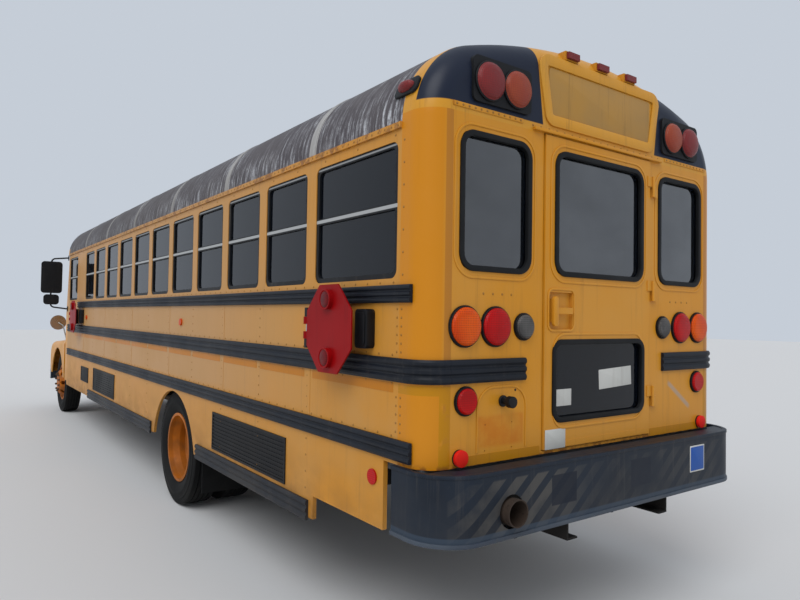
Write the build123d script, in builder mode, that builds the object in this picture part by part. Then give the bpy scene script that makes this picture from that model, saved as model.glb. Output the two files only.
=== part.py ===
# School bus on a front-engine truck chassis, 36 foot class, parked on its wheels.
# Millimetres. +X forward, +Y left, +Z up. The origin is on the ground, below the middle
# of the bus, so stations along the bus are counted from the rear wall with st().
from math import atan2, cos, radians, sin, sqrt
import os

from build123d import *

os.makedirs("parts", exist_ok=True)

# Body shell
BODY_HALF = 1219.0  # 96 inches over the side panels
WALL = 45.0  # whole wall, outer skin to lining
SKIRT_THICK = 25.0  # single skirt with its stiffener below the floor
SKIRT_LOW = 540.0  # bottom edge of the skirt between the axles
TAIL_LOW = 670.0  # bottom edge of the skirt behind the rear wheels
TAIL_STEP = 1000.0  # station where the skirt's bottom edge steps down
SKIRT_START = 310.0  # station where the skirt begins behind the bumper's wing
FLOOR_TOP = 1000.0
FLOOR_THICK = 40.0
EAVE_Z = 2600.0  # where the wall turns into the roof
ROOF_TOP = 3150.0
EAVE_R = 430.0
ROOF_THICK = 45.0
CORNER_R = 135.0  # rounding of the rear corners and of both roof caps
SHELL_RETURN = 200.0  # how far the rear wall and the caps wrap round the sides
BODY_LENGTH = 9120.0  # rear wall to the front edge of the side walls
REAR_WALL_LOW = 1000.0
DRIP_PROUD = 12.0
DRIP_HEIGHT = 30.0
BOW_WIDTH = 60.0
BOW_PROUD = 3.0

# Windscreen wall
COWL_DEPTH = 260.0  # side walls' front edge to the face below the windscreen
BROW_DEPTH = 80.0  # the same at the top of the windscreen
COWL_TOP = 1650.0
COWL_LOW = 600.0
COWL_CORNER_R = 100.0
TUNNEL_HALF = 520.0
SCREEN_LOW = 1720.0
SCREEN_HIGH = 2530.0
SCREEN_HALF = 1060.0
SCREEN_POST = 60.0

# Passenger windows
WINDOW_COUNT = 11
WINDOW_PITCH = 673.5
WINDOW_CLEAR = 564.0
PILLAR = WINDOW_PITCH - WINDOW_CLEAR
FIRST_WINDOW = 228.0  # station of the rearmost window's rear edge
FIRST_CLEAR = 795.0  # the rearmost window is the wide one
WINDOW_LOW = 1865.0
WINDOW_HIGH = 2517.0
WINDOW_R = 45.0
DRIVER_WINDOW = (8380.0, 9030.0)
FRAME_BAR = 26.0
FRAME_DEPTH = 30.0
SASH_BAR = 34.0
SASH_DROP = 0.47  # the meeting bar sits this share of the height below the top
GLASS_THICK = 5.0

# Rear wall and its door
REAR_DOOR_HALF = 465.0
REAR_DOOR_LOW = 1015.0
REAR_DOOR_HIGH = 2630.0
DOOR_GAP = 6.0
DOOR_PROUD = 10.0
DOOR_THICK = 40.0
DOOR_WINDOW_HALF = 378.0
DOOR_WINDOW_LOW = 1916.0
DOOR_WINDOW_HIGH = 2554.0
DOOR_LOWER_HALF = 390.0
DOOR_LOWER_LOW = 1160.0
DOOR_LOWER_HIGH = 1570.0
REAR_PANE = (565.0, 1022.0)
REAR_PANE_LOW = 1912.0
REAR_PANE_HIGH = 2554.0
HANDLE_Y = 336.0
HANDLE_Z = 1728.0

# Rub rails: name, bottom, top, first station, last station
RAIL_PROUD = 20.0
RAILS = [
    ("window rail", 1749.0, 1833.0, 100.0, 8250.0),
    ("seat rail", 1382.0, 1492.0, 150.0, 9060.0),
    ("floor rail", 1020.0, 1116.0, 90.0, 9060.0),
]
WRAP_RAIL_END = 595.0  # the seat rail runs on round the corner to this half width
SILL_LOW = 523.0
SILL_HIGH = 637.0

# Wheels and axles
TYRE_R = 495.0
TYRE_WIDTH = 254.0
TYRE_SHOULDER = 34.0
RIM_R = 286.0
RIM_FLANGE = 14.0
RIM_HALF = 95.0
RIM_THICK = 9.0
DUAL_SPACING = 330.0
REAR_TRACK_OUTER = 1063.0  # centre of the outer rear tyre
FRONT_TRACK = 1030.0
REAR_AXLE = 3600.0
WHEELBASE = 6452.0
FRONT_AXLE = REAR_AXLE + WHEELBASE
ARCH_R = 598.0
ARCH_TOP = 996.0
FRONT_ARCH_R = 580.0
KINGPIN_Y = 800.0
KINGPIN_R = 20.0
SPINDLE_R = 34.0
RUNNING_GAP = 0.05

# Chassis frame
RAIL_HALF = 430.0
CHANNEL_HIGH = 254.0
CHANNEL_FLANGE = 76.0
CHANNEL_THICK = 9.0
FRAME_TOP = 854.0
FRAME_LOW = FRAME_TOP - CHANNEL_HIGH
FRAME_END = 10850.0
SHAFT_Z = 545.0
SHAFT_R = 50.0

# Bumpers
BUMPER_LOW = 697.0
BUMPER_HIGH = 998.0
BUMPER_PROUD = 150.0
BUMPER_HALF = 1250.0
BUMPER_R = 230.0
BUMPER_WRAP = 200.0
BUMPER_THICK = 8.0
PIPE_Y = 823.0
PIPE_Z = 808.0
PIPE_R = 63.5
PIPE_TIP = 190.0  # how far the tail pipe stands behind the rear wall
FRONT_BUMPER_FACE = 11040.0
FRONT_BUMPER_LOW = 480.0
FRONT_BUMPER_HIGH = 740.0

# Hood
HOOD_GAP = 15.0
HOOD_SKIN = 15.0
NOSE = 10905.0
HOOD_HALF = 780.0

# Entry door
ENTRY_REAR = 8270.0
ENTRY_FRONT = 9010.0
ENTRY_LOW = 430.0
ENTRY_HIGH = 2470.0
STEP_LOW = 400.0

# Lamps
BIG_LENS_R = 89.0
SMALL_LENS_R = 60.0
LENS_PROUD = 26.0

# Stop arms
SIGN_FLATS = 457.0
SIGN_OUT = 100.0
SIGN_Z = 1617.0
STOP_STATIONS = (934.0, 8330.0)  # hinge pins
SIGN_THICK = 8.0

# Overall reach, which centres the bus on the origin
OVERALL = PIPE_TIP + FRONT_BUMPER_FACE
REAR_X = PIPE_TIP - OVERALL / 2


def st(station: float) -> float:
    """X of a station counted forward from the rear wall."""
    return REAR_X + station


EAVE_CENTRE_Y = BODY_HALF - EAVE_R
CROWN_RISE = ROOF_TOP - EAVE_Z
CROWN_R = (EAVE_CENTRE_Y**2 + CROWN_RISE**2 - EAVE_R**2) / (2 * (CROWN_RISE - EAVE_R))
CROWN_Z = ROOF_TOP - CROWN_R
EAVE_TURN = atan2(EAVE_Z - CROWN_Z, EAVE_CENTRE_Y)


def box(x0, x1, y0, y1, z0, z1) -> Part:
    """Plain block between two corners, made outside any part in work."""
    size = (abs(x1 - x0), abs(y1 - y0), abs(z1 - z0))
    middle = ((x0 + x1) / 2, (y0 + y1) / 2, (z0 + z1) / 2)
    return Pos(*middle) * Box(*size, mode=Mode.PRIVATE)


def roof_section(inset: float, low: float) -> Sketch:
    """Closed section across the bus from height low up to the roof, inset from the skin."""
    half = BODY_HALF - inset
    radius = EAVE_R - inset
    meet = (EAVE_CENTRE_Y + radius * cos(EAVE_TURN), EAVE_Z + radius * sin(EAVE_TURN))
    middle = (
        EAVE_CENTRE_Y + radius * cos(EAVE_TURN / 2),
        EAVE_Z + radius * sin(EAVE_TURN / 2),
    )
    with BuildSketch() as section:
        with BuildLine():
            Line((-half, low), (half, low))
            if low < EAVE_Z:
                Line((half, low), (half, EAVE_Z))
                Line((-half, EAVE_Z), (-half, low))
            ThreePointArc((half, EAVE_Z), middle, meet)
            ThreePointArc(meet, (0, ROOF_TOP - inset), (-meet[0], meet[1]))
            ThreePointArc((-meet[0], meet[1]), (-middle[0], middle[1]), (-half, EAVE_Z))
        make_face()
    return section.sketch_local


def end_block(face_x: float, inward: float, low: float, inset: float) -> Part:
    """Solid end of the body with its face at face_x, rounded towards the sides and roof."""
    with BuildPart() as block:
        with BuildSketch(Plane.YZ.offset(face_x + inward * inset)):
            add(roof_section(inset, low - (1 if inset else 0)))
        extrude(amount=inward * SHELL_RETURN)
        rim = block.faces().sort_by(Axis.X)[0 if inward > 0 else -1].edges()
        fillet([e for e in rim if e.center().Z > low + 1], CORNER_R - inset)
    return block.part


def window_row():
    """Station of the rear and front edge of each passenger window."""
    spans = [(FIRST_WINDOW, FIRST_WINDOW + FIRST_CLEAR)]
    for index in range(WINDOW_COUNT - 1):
        rear = FIRST_WINDOW + FIRST_CLEAR + PILLAR + index * WINDOW_PITCH
        spans.append((rear, rear + WINDOW_CLEAR))
    return spans


def span_face(spans, low, high, radius, inset=0.0) -> Sketch:
    """Rounded openings between stations, drawn in X and Z."""
    with BuildSketch() as face:
        for rear, front in spans:
            with Locations((st((rear + front) / 2), (low + high) / 2)):
                RectangleRounded(
                    front - rear - 2 * inset, high - low - 2 * inset, radius - inset / 2
                )
    return face.sketch_local


def side_plane(side: float, depth: float = 0.0) -> Plane:
    """Plane on a side wall, drawn in X and Z, whose normal points into the bus."""
    if side > 0:
        return Plane.XZ.offset(-(BODY_HALF - depth))
    return Plane(origin=(0, -(BODY_HALF - depth), 0), x_dir=(1, 0, 0), z_dir=(0, -1, 0))


def side_extrude(side: float, face: Sketch, low: float, high: float) -> Part:
    """Solid on a side wall from low to high millimetres inside the outer skin."""
    y_outer = side * (BODY_HALF - low)
    with BuildPart() as slab:
        with BuildSketch(Plane.XZ.offset(-y_outer)):
            add(face)
        extrude(amount=side * (high - low))
    return slab.part


def side_outline() -> Sketch:
    """Outer panel between the rear return and the cowl, with the skirt's stepped lower edge."""
    with BuildSketch() as face:
        with BuildLine():
            Polyline(
                (st(SHELL_RETURN), EAVE_Z),
                (st(SHELL_RETURN), REAR_WALL_LOW),
                (st(SKIRT_START), REAR_WALL_LOW),
                (st(SKIRT_START), TAIL_LOW),
                (st(TAIL_STEP), TAIL_LOW),
                (st(TAIL_STEP), SKIRT_LOW),
                (st(BODY_LENGTH), SKIRT_LOW),
                (st(BODY_LENGTH), EAVE_Z),
                close=True,
            )
        make_face()
    return face.sketch_local


def span_block(span, low: float, high: float) -> Sketch:
    """Plain face between two stations and two heights."""
    with BuildSketch() as face:
        with Locations((st((span[0] + span[1]) / 2), (low + high) / 2)):
            Rectangle(span[1] - span[0], high - low)
    return face.sketch_local


def arch_face(station: float, radius: float, top: float) -> Sketch:
    """Wheel arch with upright legs, a round top and its crown at height top."""
    centre_z = top - radius
    with BuildSketch() as face:
        with Locations((st(station), centre_z)):
            Circle(radius)
        with Locations((st(station), centre_z - radius / 2)):
            Rectangle(2 * radius, radius)
    return face.sketch_local


def build_side(side: float) -> Part:
    """Wall with its windows, skirt, wheel arch and the driver's window or entry doorway."""
    windows = span_face(window_row(), WINDOW_LOW, WINDOW_HIGH, WINDOW_R)
    if side > 0:
        doorway = span_face([DRIVER_WINDOW], WINDOW_LOW, WINDOW_HIGH, WINDOW_R)
    else:
        doorway = span_face([(ENTRY_REAR, ENTRY_FRONT)], SKIRT_LOW - 60, ENTRY_HIGH, 20)
    arch = arch_face(REAR_AXLE, ARCH_R, ARCH_TOP)
    with BuildPart() as wall:
        add(side_extrude(side, side_outline(), 0, SKIRT_THICK))
        upper = span_block((SHELL_RETURN, BODY_LENGTH), FLOOR_TOP, EAVE_Z)
        add(side_extrude(side, upper, SKIRT_THICK, WALL))
        add(side_extrude(side, windows, -1, WALL + 1), mode=Mode.SUBTRACT)
        add(side_extrude(side, doorway, -1, WALL + 1), mode=Mode.SUBTRACT)
        add(side_extrude(side, arch, -1, WALL + 1), mode=Mode.SUBTRACT)
        with BuildSketch(Plane.YZ.offset(st(SHELL_RETURN))):
            with Locations((side * (BODY_HALF + DRIP_PROUD / 2), EAVE_Z - DRIP_HEIGHT / 2)):
                Rectangle(DRIP_PROUD, DRIP_HEIGHT)
        extrude(amount=BODY_LENGTH - SHELL_RETURN)
    return wall.part


def rod(start, end, radius: float) -> Part:
    """Round bar between two points."""
    span = Vector(*end) - Vector(*start)
    with BuildPart() as bar:
        with BuildSketch(Plane(origin=start, z_dir=span)):
            Circle(radius)
        extrude(amount=span.length)
    return bar.part


# Hinges of the rear door and the entry leaves
HINGE_R = 9.0
HINGE_OUT = 22.0  # rear door hinge pins stand this far outside the wall
HINGE_Y = REAR_DOOR_HALF + 13.0
HINGE_HEIGHTS = (1180.0, 1800.0, 2420.0)
HINGE_SPAN = 60.0
HINGE_GAP = 0.3

LEAF_IN = -(BODY_HALF - 19.0)
LEAF_THICK = 28.0
LEAF_WIDTH = (ENTRY_FRONT - ENTRY_REAR - 3 * DOOR_GAP) / 2
LEAF_EDGE = 42.0
ENTRY_PIN_Y = -(BODY_HALF + 22.0)
ENTRY_PIN_R = 8.0
ENTRY_PIN_BEYOND = 2.0  # pins stand this far outside the doorway
ENTRY_HINGES = (700.0, 1450.0, 2200.0)
ENTRY_HALF = 30.0  # length of each fixed hinge half along the wall


def entry_hinge(pin_x: float, away: float) -> Part:
    """Fixed halves of one entry leaf's hinges, from their pins back to the wall."""
    with BuildPart() as fixed:
        for height in ENTRY_HINGES:
            with BuildSketch(Plane.XY.offset(height)):
                with Locations((pin_x, ENTRY_PIN_Y)):
                    Circle(ENTRY_PIN_R)
            extrude(amount=HINGE_SPAN)
            add(box(pin_x, pin_x + away * ENTRY_HALF, ENTRY_PIN_Y + 4, 1 - BODY_HALF, height,
                    height + HINGE_SPAN))
    return fixed.part


# Sides of the body
side_left = build_side(1)
side_left.label = "side_left"
export_step(side_left, "parts/side_left.step")

side_right = build_side(-1)
side_right += entry_hinge(st(ENTRY_REAR - ENTRY_PIN_BEYOND), -1)
side_right += entry_hinge(st(ENTRY_FRONT + ENTRY_PIN_BEYOND), 1)
side_right.label = "side_right"
export_step(side_right, "parts/side_right.step")


def ring_frame(spans, low, high, radius) -> Sketch:
    """Window frames that fill the openings, with the meeting bar across each."""
    bar_z = high - SASH_DROP * (high - low)
    with BuildSketch() as face:
        add(span_face(spans, low, high, radius))
        add(span_face(spans, low, high, radius, FRAME_BAR), mode=Mode.SUBTRACT)
        for rear, front in spans:
            with Locations((st((rear + front) / 2), bar_z)):
                Rectangle(front - rear - FRAME_BAR, SASH_BAR)
    return face.sketch_local


def pane_faces(spans, low, high, radius) -> Sketch:
    """Panes above and below the meeting bar, inside the window frames."""
    bar_z = high - SASH_DROP * (high - low)
    with BuildSketch() as face:
        add(span_face(spans, low, high, radius, FRAME_BAR))
        for rear, front in spans:
            with Locations((st((rear + front) / 2), bar_z)):
                Rectangle(front - rear, SASH_BAR, mode=Mode.SUBTRACT)
    return face.sketch_local


FRAME_IN = 6.0  # frames sit this far inside the outer skin
PANE_IN = FRAME_IN + (FRAME_DEPTH - GLASS_THICK) / 2
side_spans = {1: window_row() + [DRIVER_WINDOW], -1: window_row()}
with BuildPart() as window_frames:
    for side, spans in side_spans.items():
        frames = ring_frame(spans, WINDOW_LOW, WINDOW_HIGH, WINDOW_R)
        add(side_extrude(side, frames, FRAME_IN, FRAME_IN + FRAME_DEPTH))
window_frames.part.label = "window_frames"
export_step(window_frames.part, "parts/window_frames.step")


def rear_face(panes, low, high, radius, inset=0.0) -> Sketch:
    """Rounded openings drawn across the bus in Y and Z."""
    with BuildSketch() as face:
        for inner, outer in panes:
            with Locations(((inner + outer) / 2, (low + high) / 2)):
                RectangleRounded(
                    abs(outer - inner) - 2 * inset, high - low - 2 * inset, radius - inset / 2
                )
    return face.sketch_local


def across(face: Sketch, x0: float, x1: float) -> Part:
    """Solid between two X places from a face drawn in Y and Z."""
    with BuildPart() as slab:
        with BuildSketch(Plane.YZ.offset(x0)):
            add(face)
        extrude(amount=x1 - x0)
    return slab.part




def hinge_halves(x, y, out, depth, along, reach, heights, shift) -> Part:
    """Lower or upper knuckles of a row of hinges, each with the leaf that carries it."""
    with BuildPart() as knuckles:
        for height in heights:
            z0 = height + shift * (HINGE_SPAN + HINGE_GAP)
            with BuildSketch(Plane.XY.offset(z0)):
                with Locations((x, y)):
                    Circle(HINGE_R)
            extrude(amount=HINGE_SPAN)
            if out[0]:
                xs = (x + HINGE_OUT - depth, x + HINGE_OUT)
                ys = (y, y + along[1] * reach)
            else:
                xs = (x, x + along[0] * reach)
                ys = (y - out[1] * (HINGE_OUT - depth), y - out[1] * HINGE_OUT)
            add(box(xs[0], xs[1], ys[0], ys[1], z0, z0 + HINGE_SPAN))
    return knuckles.part


# Holes for the registration plates
PLATE_Y = 766.0
PLATE_Z = 1120.0
PLATE_WIDE = 178.0
PLATE_TALL = 121.0
PLATE_HOLE_R = 3.5

# Rear end: one shell, parted at the eave into the wall and the roof cap
rear_block = end_block(st(0), 1, REAR_WALL_LOW, 0)
rear_shell = rear_block - end_block(st(0), 1, REAR_WALL_LOW, WALL)
pane_pair = [REAR_PANE, (-REAR_PANE[0], -REAR_PANE[1])]
pane_holes = rear_face(pane_pair, REAR_PANE_LOW, REAR_PANE_HIGH, WINDOW_R)
CAP_LOW = REAR_DOOR_HIGH + DOOR_GAP
with BuildPart() as rear_wall:
    add(rear_shell)
    split(bisect_by=Plane.XY.offset(CAP_LOW), keep=Keep.BOTTOM)
    add(across(pane_holes, st(-1), st(WALL + 1)), mode=Mode.SUBTRACT)
    add(
        box(st(-1), st(WALL + 1), -REAR_DOOR_HALF, REAR_DOOR_HALF, REAR_DOOR_LOW, CAP_LOW + 1),
        mode=Mode.SUBTRACT,
    )
    add(hinge_halves(st(0) - HINGE_OUT, -HINGE_Y, (-1, 0), 16, (0, -1), 47, HINGE_HEIGHTS, 0))
    with BuildSketch(Plane.YZ.offset(st(-1))):
        with Locations((PLATE_Y, PLATE_Z)):
            with GridLocations(PLATE_WIDE, PLATE_TALL, 2, 2):
                Circle(PLATE_HOLE_R)
    extrude(amount=WALL + 2, mode=Mode.SUBTRACT)
rear_wall.part.label = "rear_wall"
export_step(rear_wall.part, "parts/rear_wall.step")

BROW_FACE = BODY_LENGTH + SHELL_RETURN
front_block = end_block(st(BROW_FACE), -1, EAVE_Z, 0)
with BuildPart() as roof_caps:
    add(rear_shell)
    split(bisect_by=Plane.XY.offset(CAP_LOW), keep=Keep.TOP)
    add(front_block - end_block(st(BROW_FACE), -1, EAVE_Z, ROOF_THICK))
roof_caps.part.label = "roof_caps"
export_step(roof_caps.part, "parts/roof_caps.step")

# Roof between the caps, with the bands over its bows
with BuildPart() as roof:
    with BuildSketch(Plane.YZ.offset(st(SHELL_RETURN))):
        add(roof_section(0, EAVE_Z))
        add(roof_section(ROOF_THICK, EAVE_Z - 1), mode=Mode.SUBTRACT)
    extrude(amount=BODY_LENGTH - SHELL_RETURN)
    for index in range(0, WINDOW_COUNT, 2):
        bow = FIRST_WINDOW + FIRST_CLEAR + PILLAR / 2 + index * WINDOW_PITCH
        with BuildSketch(Plane.YZ.offset(st(bow - BOW_WIDTH / 2))):
            add(roof_section(-BOW_PROUD, EAVE_Z))
            add(roof_section(ROOF_THICK / 2, EAVE_Z - 1), mode=Mode.SUBTRACT)
        extrude(amount=BOW_WIDTH)
roof.part.label = "roof"
export_step(roof.part, "parts/roof.step")


# Windscreen wall
def cowl_form(inset: float) -> Part:
    """Raked front wall across the whole width, inset from the outer faces."""
    rake = (COWL_DEPTH - BROW_DEPTH) / (EAVE_Z - COWL_TOP)
    lean = inset * sqrt(1 + rake**2)
    knee_z = COWL_TOP - (lean - inset) / rake
    over = 1 if inset else 0  # the hollow runs past the faces that it opens
    with BuildPart() as form:
        with BuildSketch(Plane.XZ):
            with BuildLine():
                Polyline(
                    (st(BODY_LENGTH) - over, COWL_LOW - over),
                    (st(BODY_LENGTH + COWL_DEPTH - inset), COWL_LOW - over),
                    (st(BODY_LENGTH + COWL_DEPTH - inset), knee_z),
                    (st(BODY_LENGTH + BROW_DEPTH - lean) - rake * over, EAVE_Z + over),
                    (st(BODY_LENGTH) - over, EAVE_Z + over),
                    close=True,
                )
            make_face()
        extrude(amount=BODY_HALF - inset, both=True)
        front = form.edges().filter_by(lambda e: e.center().X > st(BODY_LENGTH) + 5)
        upright = [e for e in front if abs(e.tangent_at(0.5).Z) > 0.9]
        fillet(upright, COWL_CORNER_R - inset)
    return form.part


RAKE = atan2(COWL_DEPTH - BROW_DEPTH, EAVE_Z - COWL_TOP)
screen_plane = Plane(
    origin=(st(BODY_LENGTH + COWL_DEPTH), 0, COWL_TOP),
    x_dir=(0, 1, 0),
    z_dir=(cos(RAKE), 0, sin(RAKE)),
)


def screen_faces(inset: float) -> Sketch:
    """The two windscreen openings, drawn on the raked wall."""
    low = (SCREEN_LOW - COWL_TOP) / cos(RAKE) + inset
    high = (SCREEN_HIGH - COWL_TOP) / cos(RAKE) - inset
    with BuildSketch() as face:
        for side in (-1, 1):
            inner = SCREEN_POST / 2 + inset
            outer = SCREEN_HALF - inset
            with Locations((side * (inner + outer) / 2, (low + high) / 2)):
                RectangleRounded(outer - inner, high - low, WINDOW_R)
    return face.sketch_local


cowl_outer = cowl_form(0)
cowl_inner = cowl_form(WALL)
with BuildPart() as cowl:
    add(cowl_outer)
    add(cowl_inner, mode=Mode.SUBTRACT)
    with BuildSketch(screen_plane.offset(-WALL - 5)):
        add(screen_faces(0))
    extrude(amount=WALL + 10, mode=Mode.SUBTRACT)
    tunnel = box(st(BODY_LENGTH - 1), st(NOSE), -TUNNEL_HALF, TUNNEL_HALF, COWL_LOW - 1, FLOOR_TOP)
    add(tunnel, mode=Mode.SUBTRACT)
cowl.part.label = "cowl"
export_step(cowl.part, "parts/cowl.step")

# Fixed glass: side panes in their sashes, rear panes and the two halves of the windscreen
with BuildPart() as window_glass:
    for side, spans in side_spans.items():
        panes = pane_faces(spans, WINDOW_LOW, WINDOW_HIGH, WINDOW_R)
        add(side_extrude(side, panes, PANE_IN, PANE_IN + GLASS_THICK))
    add(across(pane_holes, st(PANE_IN), st(PANE_IN + GLASS_THICK)))
    with BuildSketch(screen_plane.offset(-WALL / 2)):
        add(screen_faces(0))
    extrude(amount=GLASS_THICK)
window_glass.part.label = "window_glass"
export_step(window_glass.part, "parts/window_glass.step")

# Floor with the boxes over the rear wheels
WHEELHOUSE_HALF = 570.0
WHEELHOUSE_TOP = 1130.0
WHEELHOUSE_SKIN = 6.0
WHEELHOUSE_INNER = 560.0
FLOOR_HALF = BODY_HALF - SKIRT_THICK
CABIN_HALF = BODY_HALF - WALL
STEP_INNER = -600.0
with BuildPart() as floor:
    low = FLOOR_TOP - FLOOR_THICK
    cowl_inside = BODY_LENGTH + COWL_DEPTH - WALL
    toe = cowl_inside - COWL_CORNER_R
    add(box(st(WALL), st(BODY_LENGTH), -FLOOR_HALF, FLOOR_HALF, low, FLOOR_TOP))
    add(box(st(BODY_LENGTH), st(toe), -CABIN_HALF, CABIN_HALF, low, FLOOR_TOP))
    add(box(st(toe), st(cowl_inside), COWL_CORNER_R - CABIN_HALF, CABIN_HALF - COWL_CORNER_R, low,
            FLOOR_TOP))
    for side in (-1, 1):
        x0 = st(REAR_AXLE - WHEELHOUSE_HALF)
        x1 = st(REAR_AXLE + WHEELHOUSE_HALF)
        add(
            box(x0 - WHEELHOUSE_SKIN, x1 + WHEELHOUSE_SKIN,
                side * (WHEELHOUSE_INNER - WHEELHOUSE_SKIN), side * CABIN_HALF,
                FLOOR_TOP, WHEELHOUSE_TOP + WHEELHOUSE_SKIN)
        )
        add(
            box(x0, x1, side * WHEELHOUSE_INNER, side * (FLOOR_HALF + 1), 900, WHEELHOUSE_TOP),
            mode=Mode.SUBTRACT,
        )
    add(
        box(st(ENTRY_REAR), st(ENTRY_FRONT), STEP_INNER, -FLOOR_HALF, 900, FLOOR_TOP + 1),
        mode=Mode.SUBTRACT,
    )
floor.part.label = "floor"
export_step(floor.part, "parts/floor.step")

# Stepwell inside the entry door
STEP_SKIN = 6.0
with BuildPart() as stepwell:
    with BuildSketch(Plane.YZ.offset(st(ENTRY_REAR))):
        with BuildLine():
            Polyline(
                (-FLOOR_HALF, STEP_LOW),
                (-940, STEP_LOW),
                (-940, 600),
                (-770, 600),
                (-770, 800),
                (STEP_INNER, 800),
                (STEP_INNER, FLOOR_TOP),
                (STEP_INNER - STEP_SKIN, FLOOR_TOP),
                (STEP_INNER - STEP_SKIN, 800 + STEP_SKIN),
                (-770 - STEP_SKIN, 800 + STEP_SKIN),
                (-770 - STEP_SKIN, 600 + STEP_SKIN),
                (-940 - STEP_SKIN, 600 + STEP_SKIN),
                (-940 - STEP_SKIN, STEP_LOW + STEP_SKIN),
                (-FLOOR_HALF, STEP_LOW + STEP_SKIN),
                close=True,
            )
        make_face()
    extrude(amount=ENTRY_FRONT - ENTRY_REAR)
    for station in (ENTRY_REAR, ENTRY_FRONT - STEP_SKIN):
        with BuildSketch(Plane.YZ.offset(st(station))):
            with BuildLine():
                Polyline(
                    (-FLOOR_HALF, STEP_LOW),
                    (-940, STEP_LOW),
                    (-940, 600),
                    (-770, 600),
                    (-770, 800),
                    (STEP_INNER, 800),
                    (STEP_INNER, FLOOR_TOP),
                    (-FLOOR_HALF, FLOOR_TOP),
                    close=True,
                )
            make_face()
        extrude(amount=STEP_SKIN)
stepwell.part.label = "stepwell"
export_step(stepwell.part, "parts/stepwell.step")


# Rub rails: ribbed black strips on both sides, one of them wrapped round the rear corners
def rail_profile(low: float, high: float, out: float) -> Sketch:
    """Ribbed strip section with its flat back at zero, standing out along +X locally."""
    height = high - low
    rib = height / 5
    with BuildSketch() as face:
        with BuildLine():
            Polyline(
                (0, low),
                (out * 0.7, low),
                (out, low + rib * 0.5),
                (out, low + rib),
                (out * 0.6, low + rib * 1.5),
                (out * 0.6, low + rib * 1.8),
                (out, low + rib * 2.2),
                (out, low + rib * 2.8),
                (out * 0.6, low + rib * 3.2),
                (out * 0.6, low + rib * 3.5),
                (out, low + rib * 4),
                (out, low + rib * 4.5),
                (out * 0.7, high),
                (0, high),
                close=True,
            )
        make_face()
    return face.sketch_local


def side_strip(side, low, high, start, end) -> Part:
    """A ribbed strip along one side between two stations."""
    with BuildPart() as strip:
        plane = Plane(
            origin=(st(start), side * BODY_HALF, 0), x_dir=(0, side, 0), z_dir=(side, 0, 0)
        )
        with BuildSketch(plane):
            add(rail_profile(low, high, RAIL_PROUD))
        extrude(amount=side * (end - start))
    return strip.part


FLAP_X = 2914.0
RAIL_JOINT = 1.0
rail_ends = {1: 9060.0, -1: ENTRY_REAR - 40}
with BuildPart() as rub_rails:
    for side in (1, -1):
        for name, low, high, start, end in RAILS:
            last = min(end, rail_ends[side])
            if name == "seat rail":
                add(side_strip(side, low, high, CORNER_R + RAIL_JOINT, last))
                plane = Plane(
                    origin=(st(CORNER_R), side * BODY_HALF, 0), x_dir=(0, side, 0), z_dir=(side, 0, 0)
                )
                with BuildSketch(plane):
                    add(rail_profile(low, high, RAIL_PROUD))
                corner_middle = (st(CORNER_R), side * (BODY_HALF - CORNER_R), 0)
                revolve(axis=Axis(corner_middle, (0, 0, side)), revolution_arc=90)
                splice = BODY_HALF - CORNER_R - RAIL_JOINT
                nearest = WRAP_RAIL_END if side > 0 else -splice
                plane = Plane(origin=(st(0), nearest, 0), x_dir=(-1, 0, 0), z_dir=(0, 1, 0))
                with BuildSketch(plane):
                    add(rail_profile(low, high, RAIL_PROUD))
                extrude(amount=splice - WRAP_RAIL_END)
            else:
                add(side_strip(side, low, high, start, last))
        for start, end in ((TAIL_STEP + 50, REAR_AXLE - ARCH_R - 60), (REAR_AXLE + ARCH_R + 60, 7350)):
            add(side_strip(side, SILL_LOW, SILL_HIGH, start, end))
rub_rails.part.label = "rub_rails"
export_step(rub_rails.part, "parts/rub_rails.step")

def axle_post(station: float, z: float, y0: float, y1: float, radius: float) -> Part:
    """Round bar along Y between two places."""
    low = min(y0, y1)
    with BuildPart() as bar:
        with BuildSketch(Plane.XZ.offset(-low)):
            Circle(radius)
        extrude(amount=-abs(y1 - y0))
    return Pos(st(station), 0, z) * bar.part


# Chassis rails: two channels with the front horns and the hood's fixed lugs
HORN_LOW = 600.0
HORN_HIGH = 735.0
HOOD_PIN = 10920.0
HOOD_PIN_Z = 775.0
HOOD_PIN_R = 12.0
HOOD_LUG_Y = 380.0
LUG_THICK = 20.0
with BuildPart() as frame_rails:
    for side in (-1, 1):
        with BuildSketch(Plane.YZ.offset(st(-BUMPER_PROUD + BUMPER_THICK))):
            with BuildLine():
                web = side * RAIL_HALF
                inner = side * (RAIL_HALF - CHANNEL_THICK)
                tip = side * (RAIL_HALF - CHANNEL_FLANGE)
                Polyline(
                    (web, FRAME_LOW),
                    (web, FRAME_TOP),
                    (tip, FRAME_TOP),
                    (tip, FRAME_TOP - CHANNEL_THICK),
                    (inner, FRAME_TOP - CHANNEL_THICK),
                    (inner, FRAME_LOW + CHANNEL_THICK),
                    (tip, FRAME_LOW + CHANNEL_THICK),
                    (tip, FRAME_LOW),
                    close=True,
                )
            make_face()
        extrude(amount=BUMPER_PROUD - BUMPER_THICK + FRAME_END)
        add(
            box(st(FRAME_END), st(FRONT_BUMPER_FACE - 100), side * (RAIL_HALF - CHANNEL_FLANGE),
                side * RAIL_HALF, HORN_LOW, HORN_HIGH)
        )
        lug_x = st(HOOD_PIN)
        lug_out = HOOD_LUG_Y + LUG_THICK
        add(box(lug_x - HOOD_PIN_R, lug_x + HOOD_PIN_R, side * HOOD_LUG_Y, side * lug_out,
                HORN_HIGH - 1, HOOD_PIN_Z))
        add(axle_post(HOOD_PIN, HOOD_PIN_Z, side * HOOD_LUG_Y, side * lug_out, HOOD_PIN_R))
frame_rails.part.label = "frame_rails"
export_step(frame_rails.part, "parts/frame_rails.step")

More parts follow.
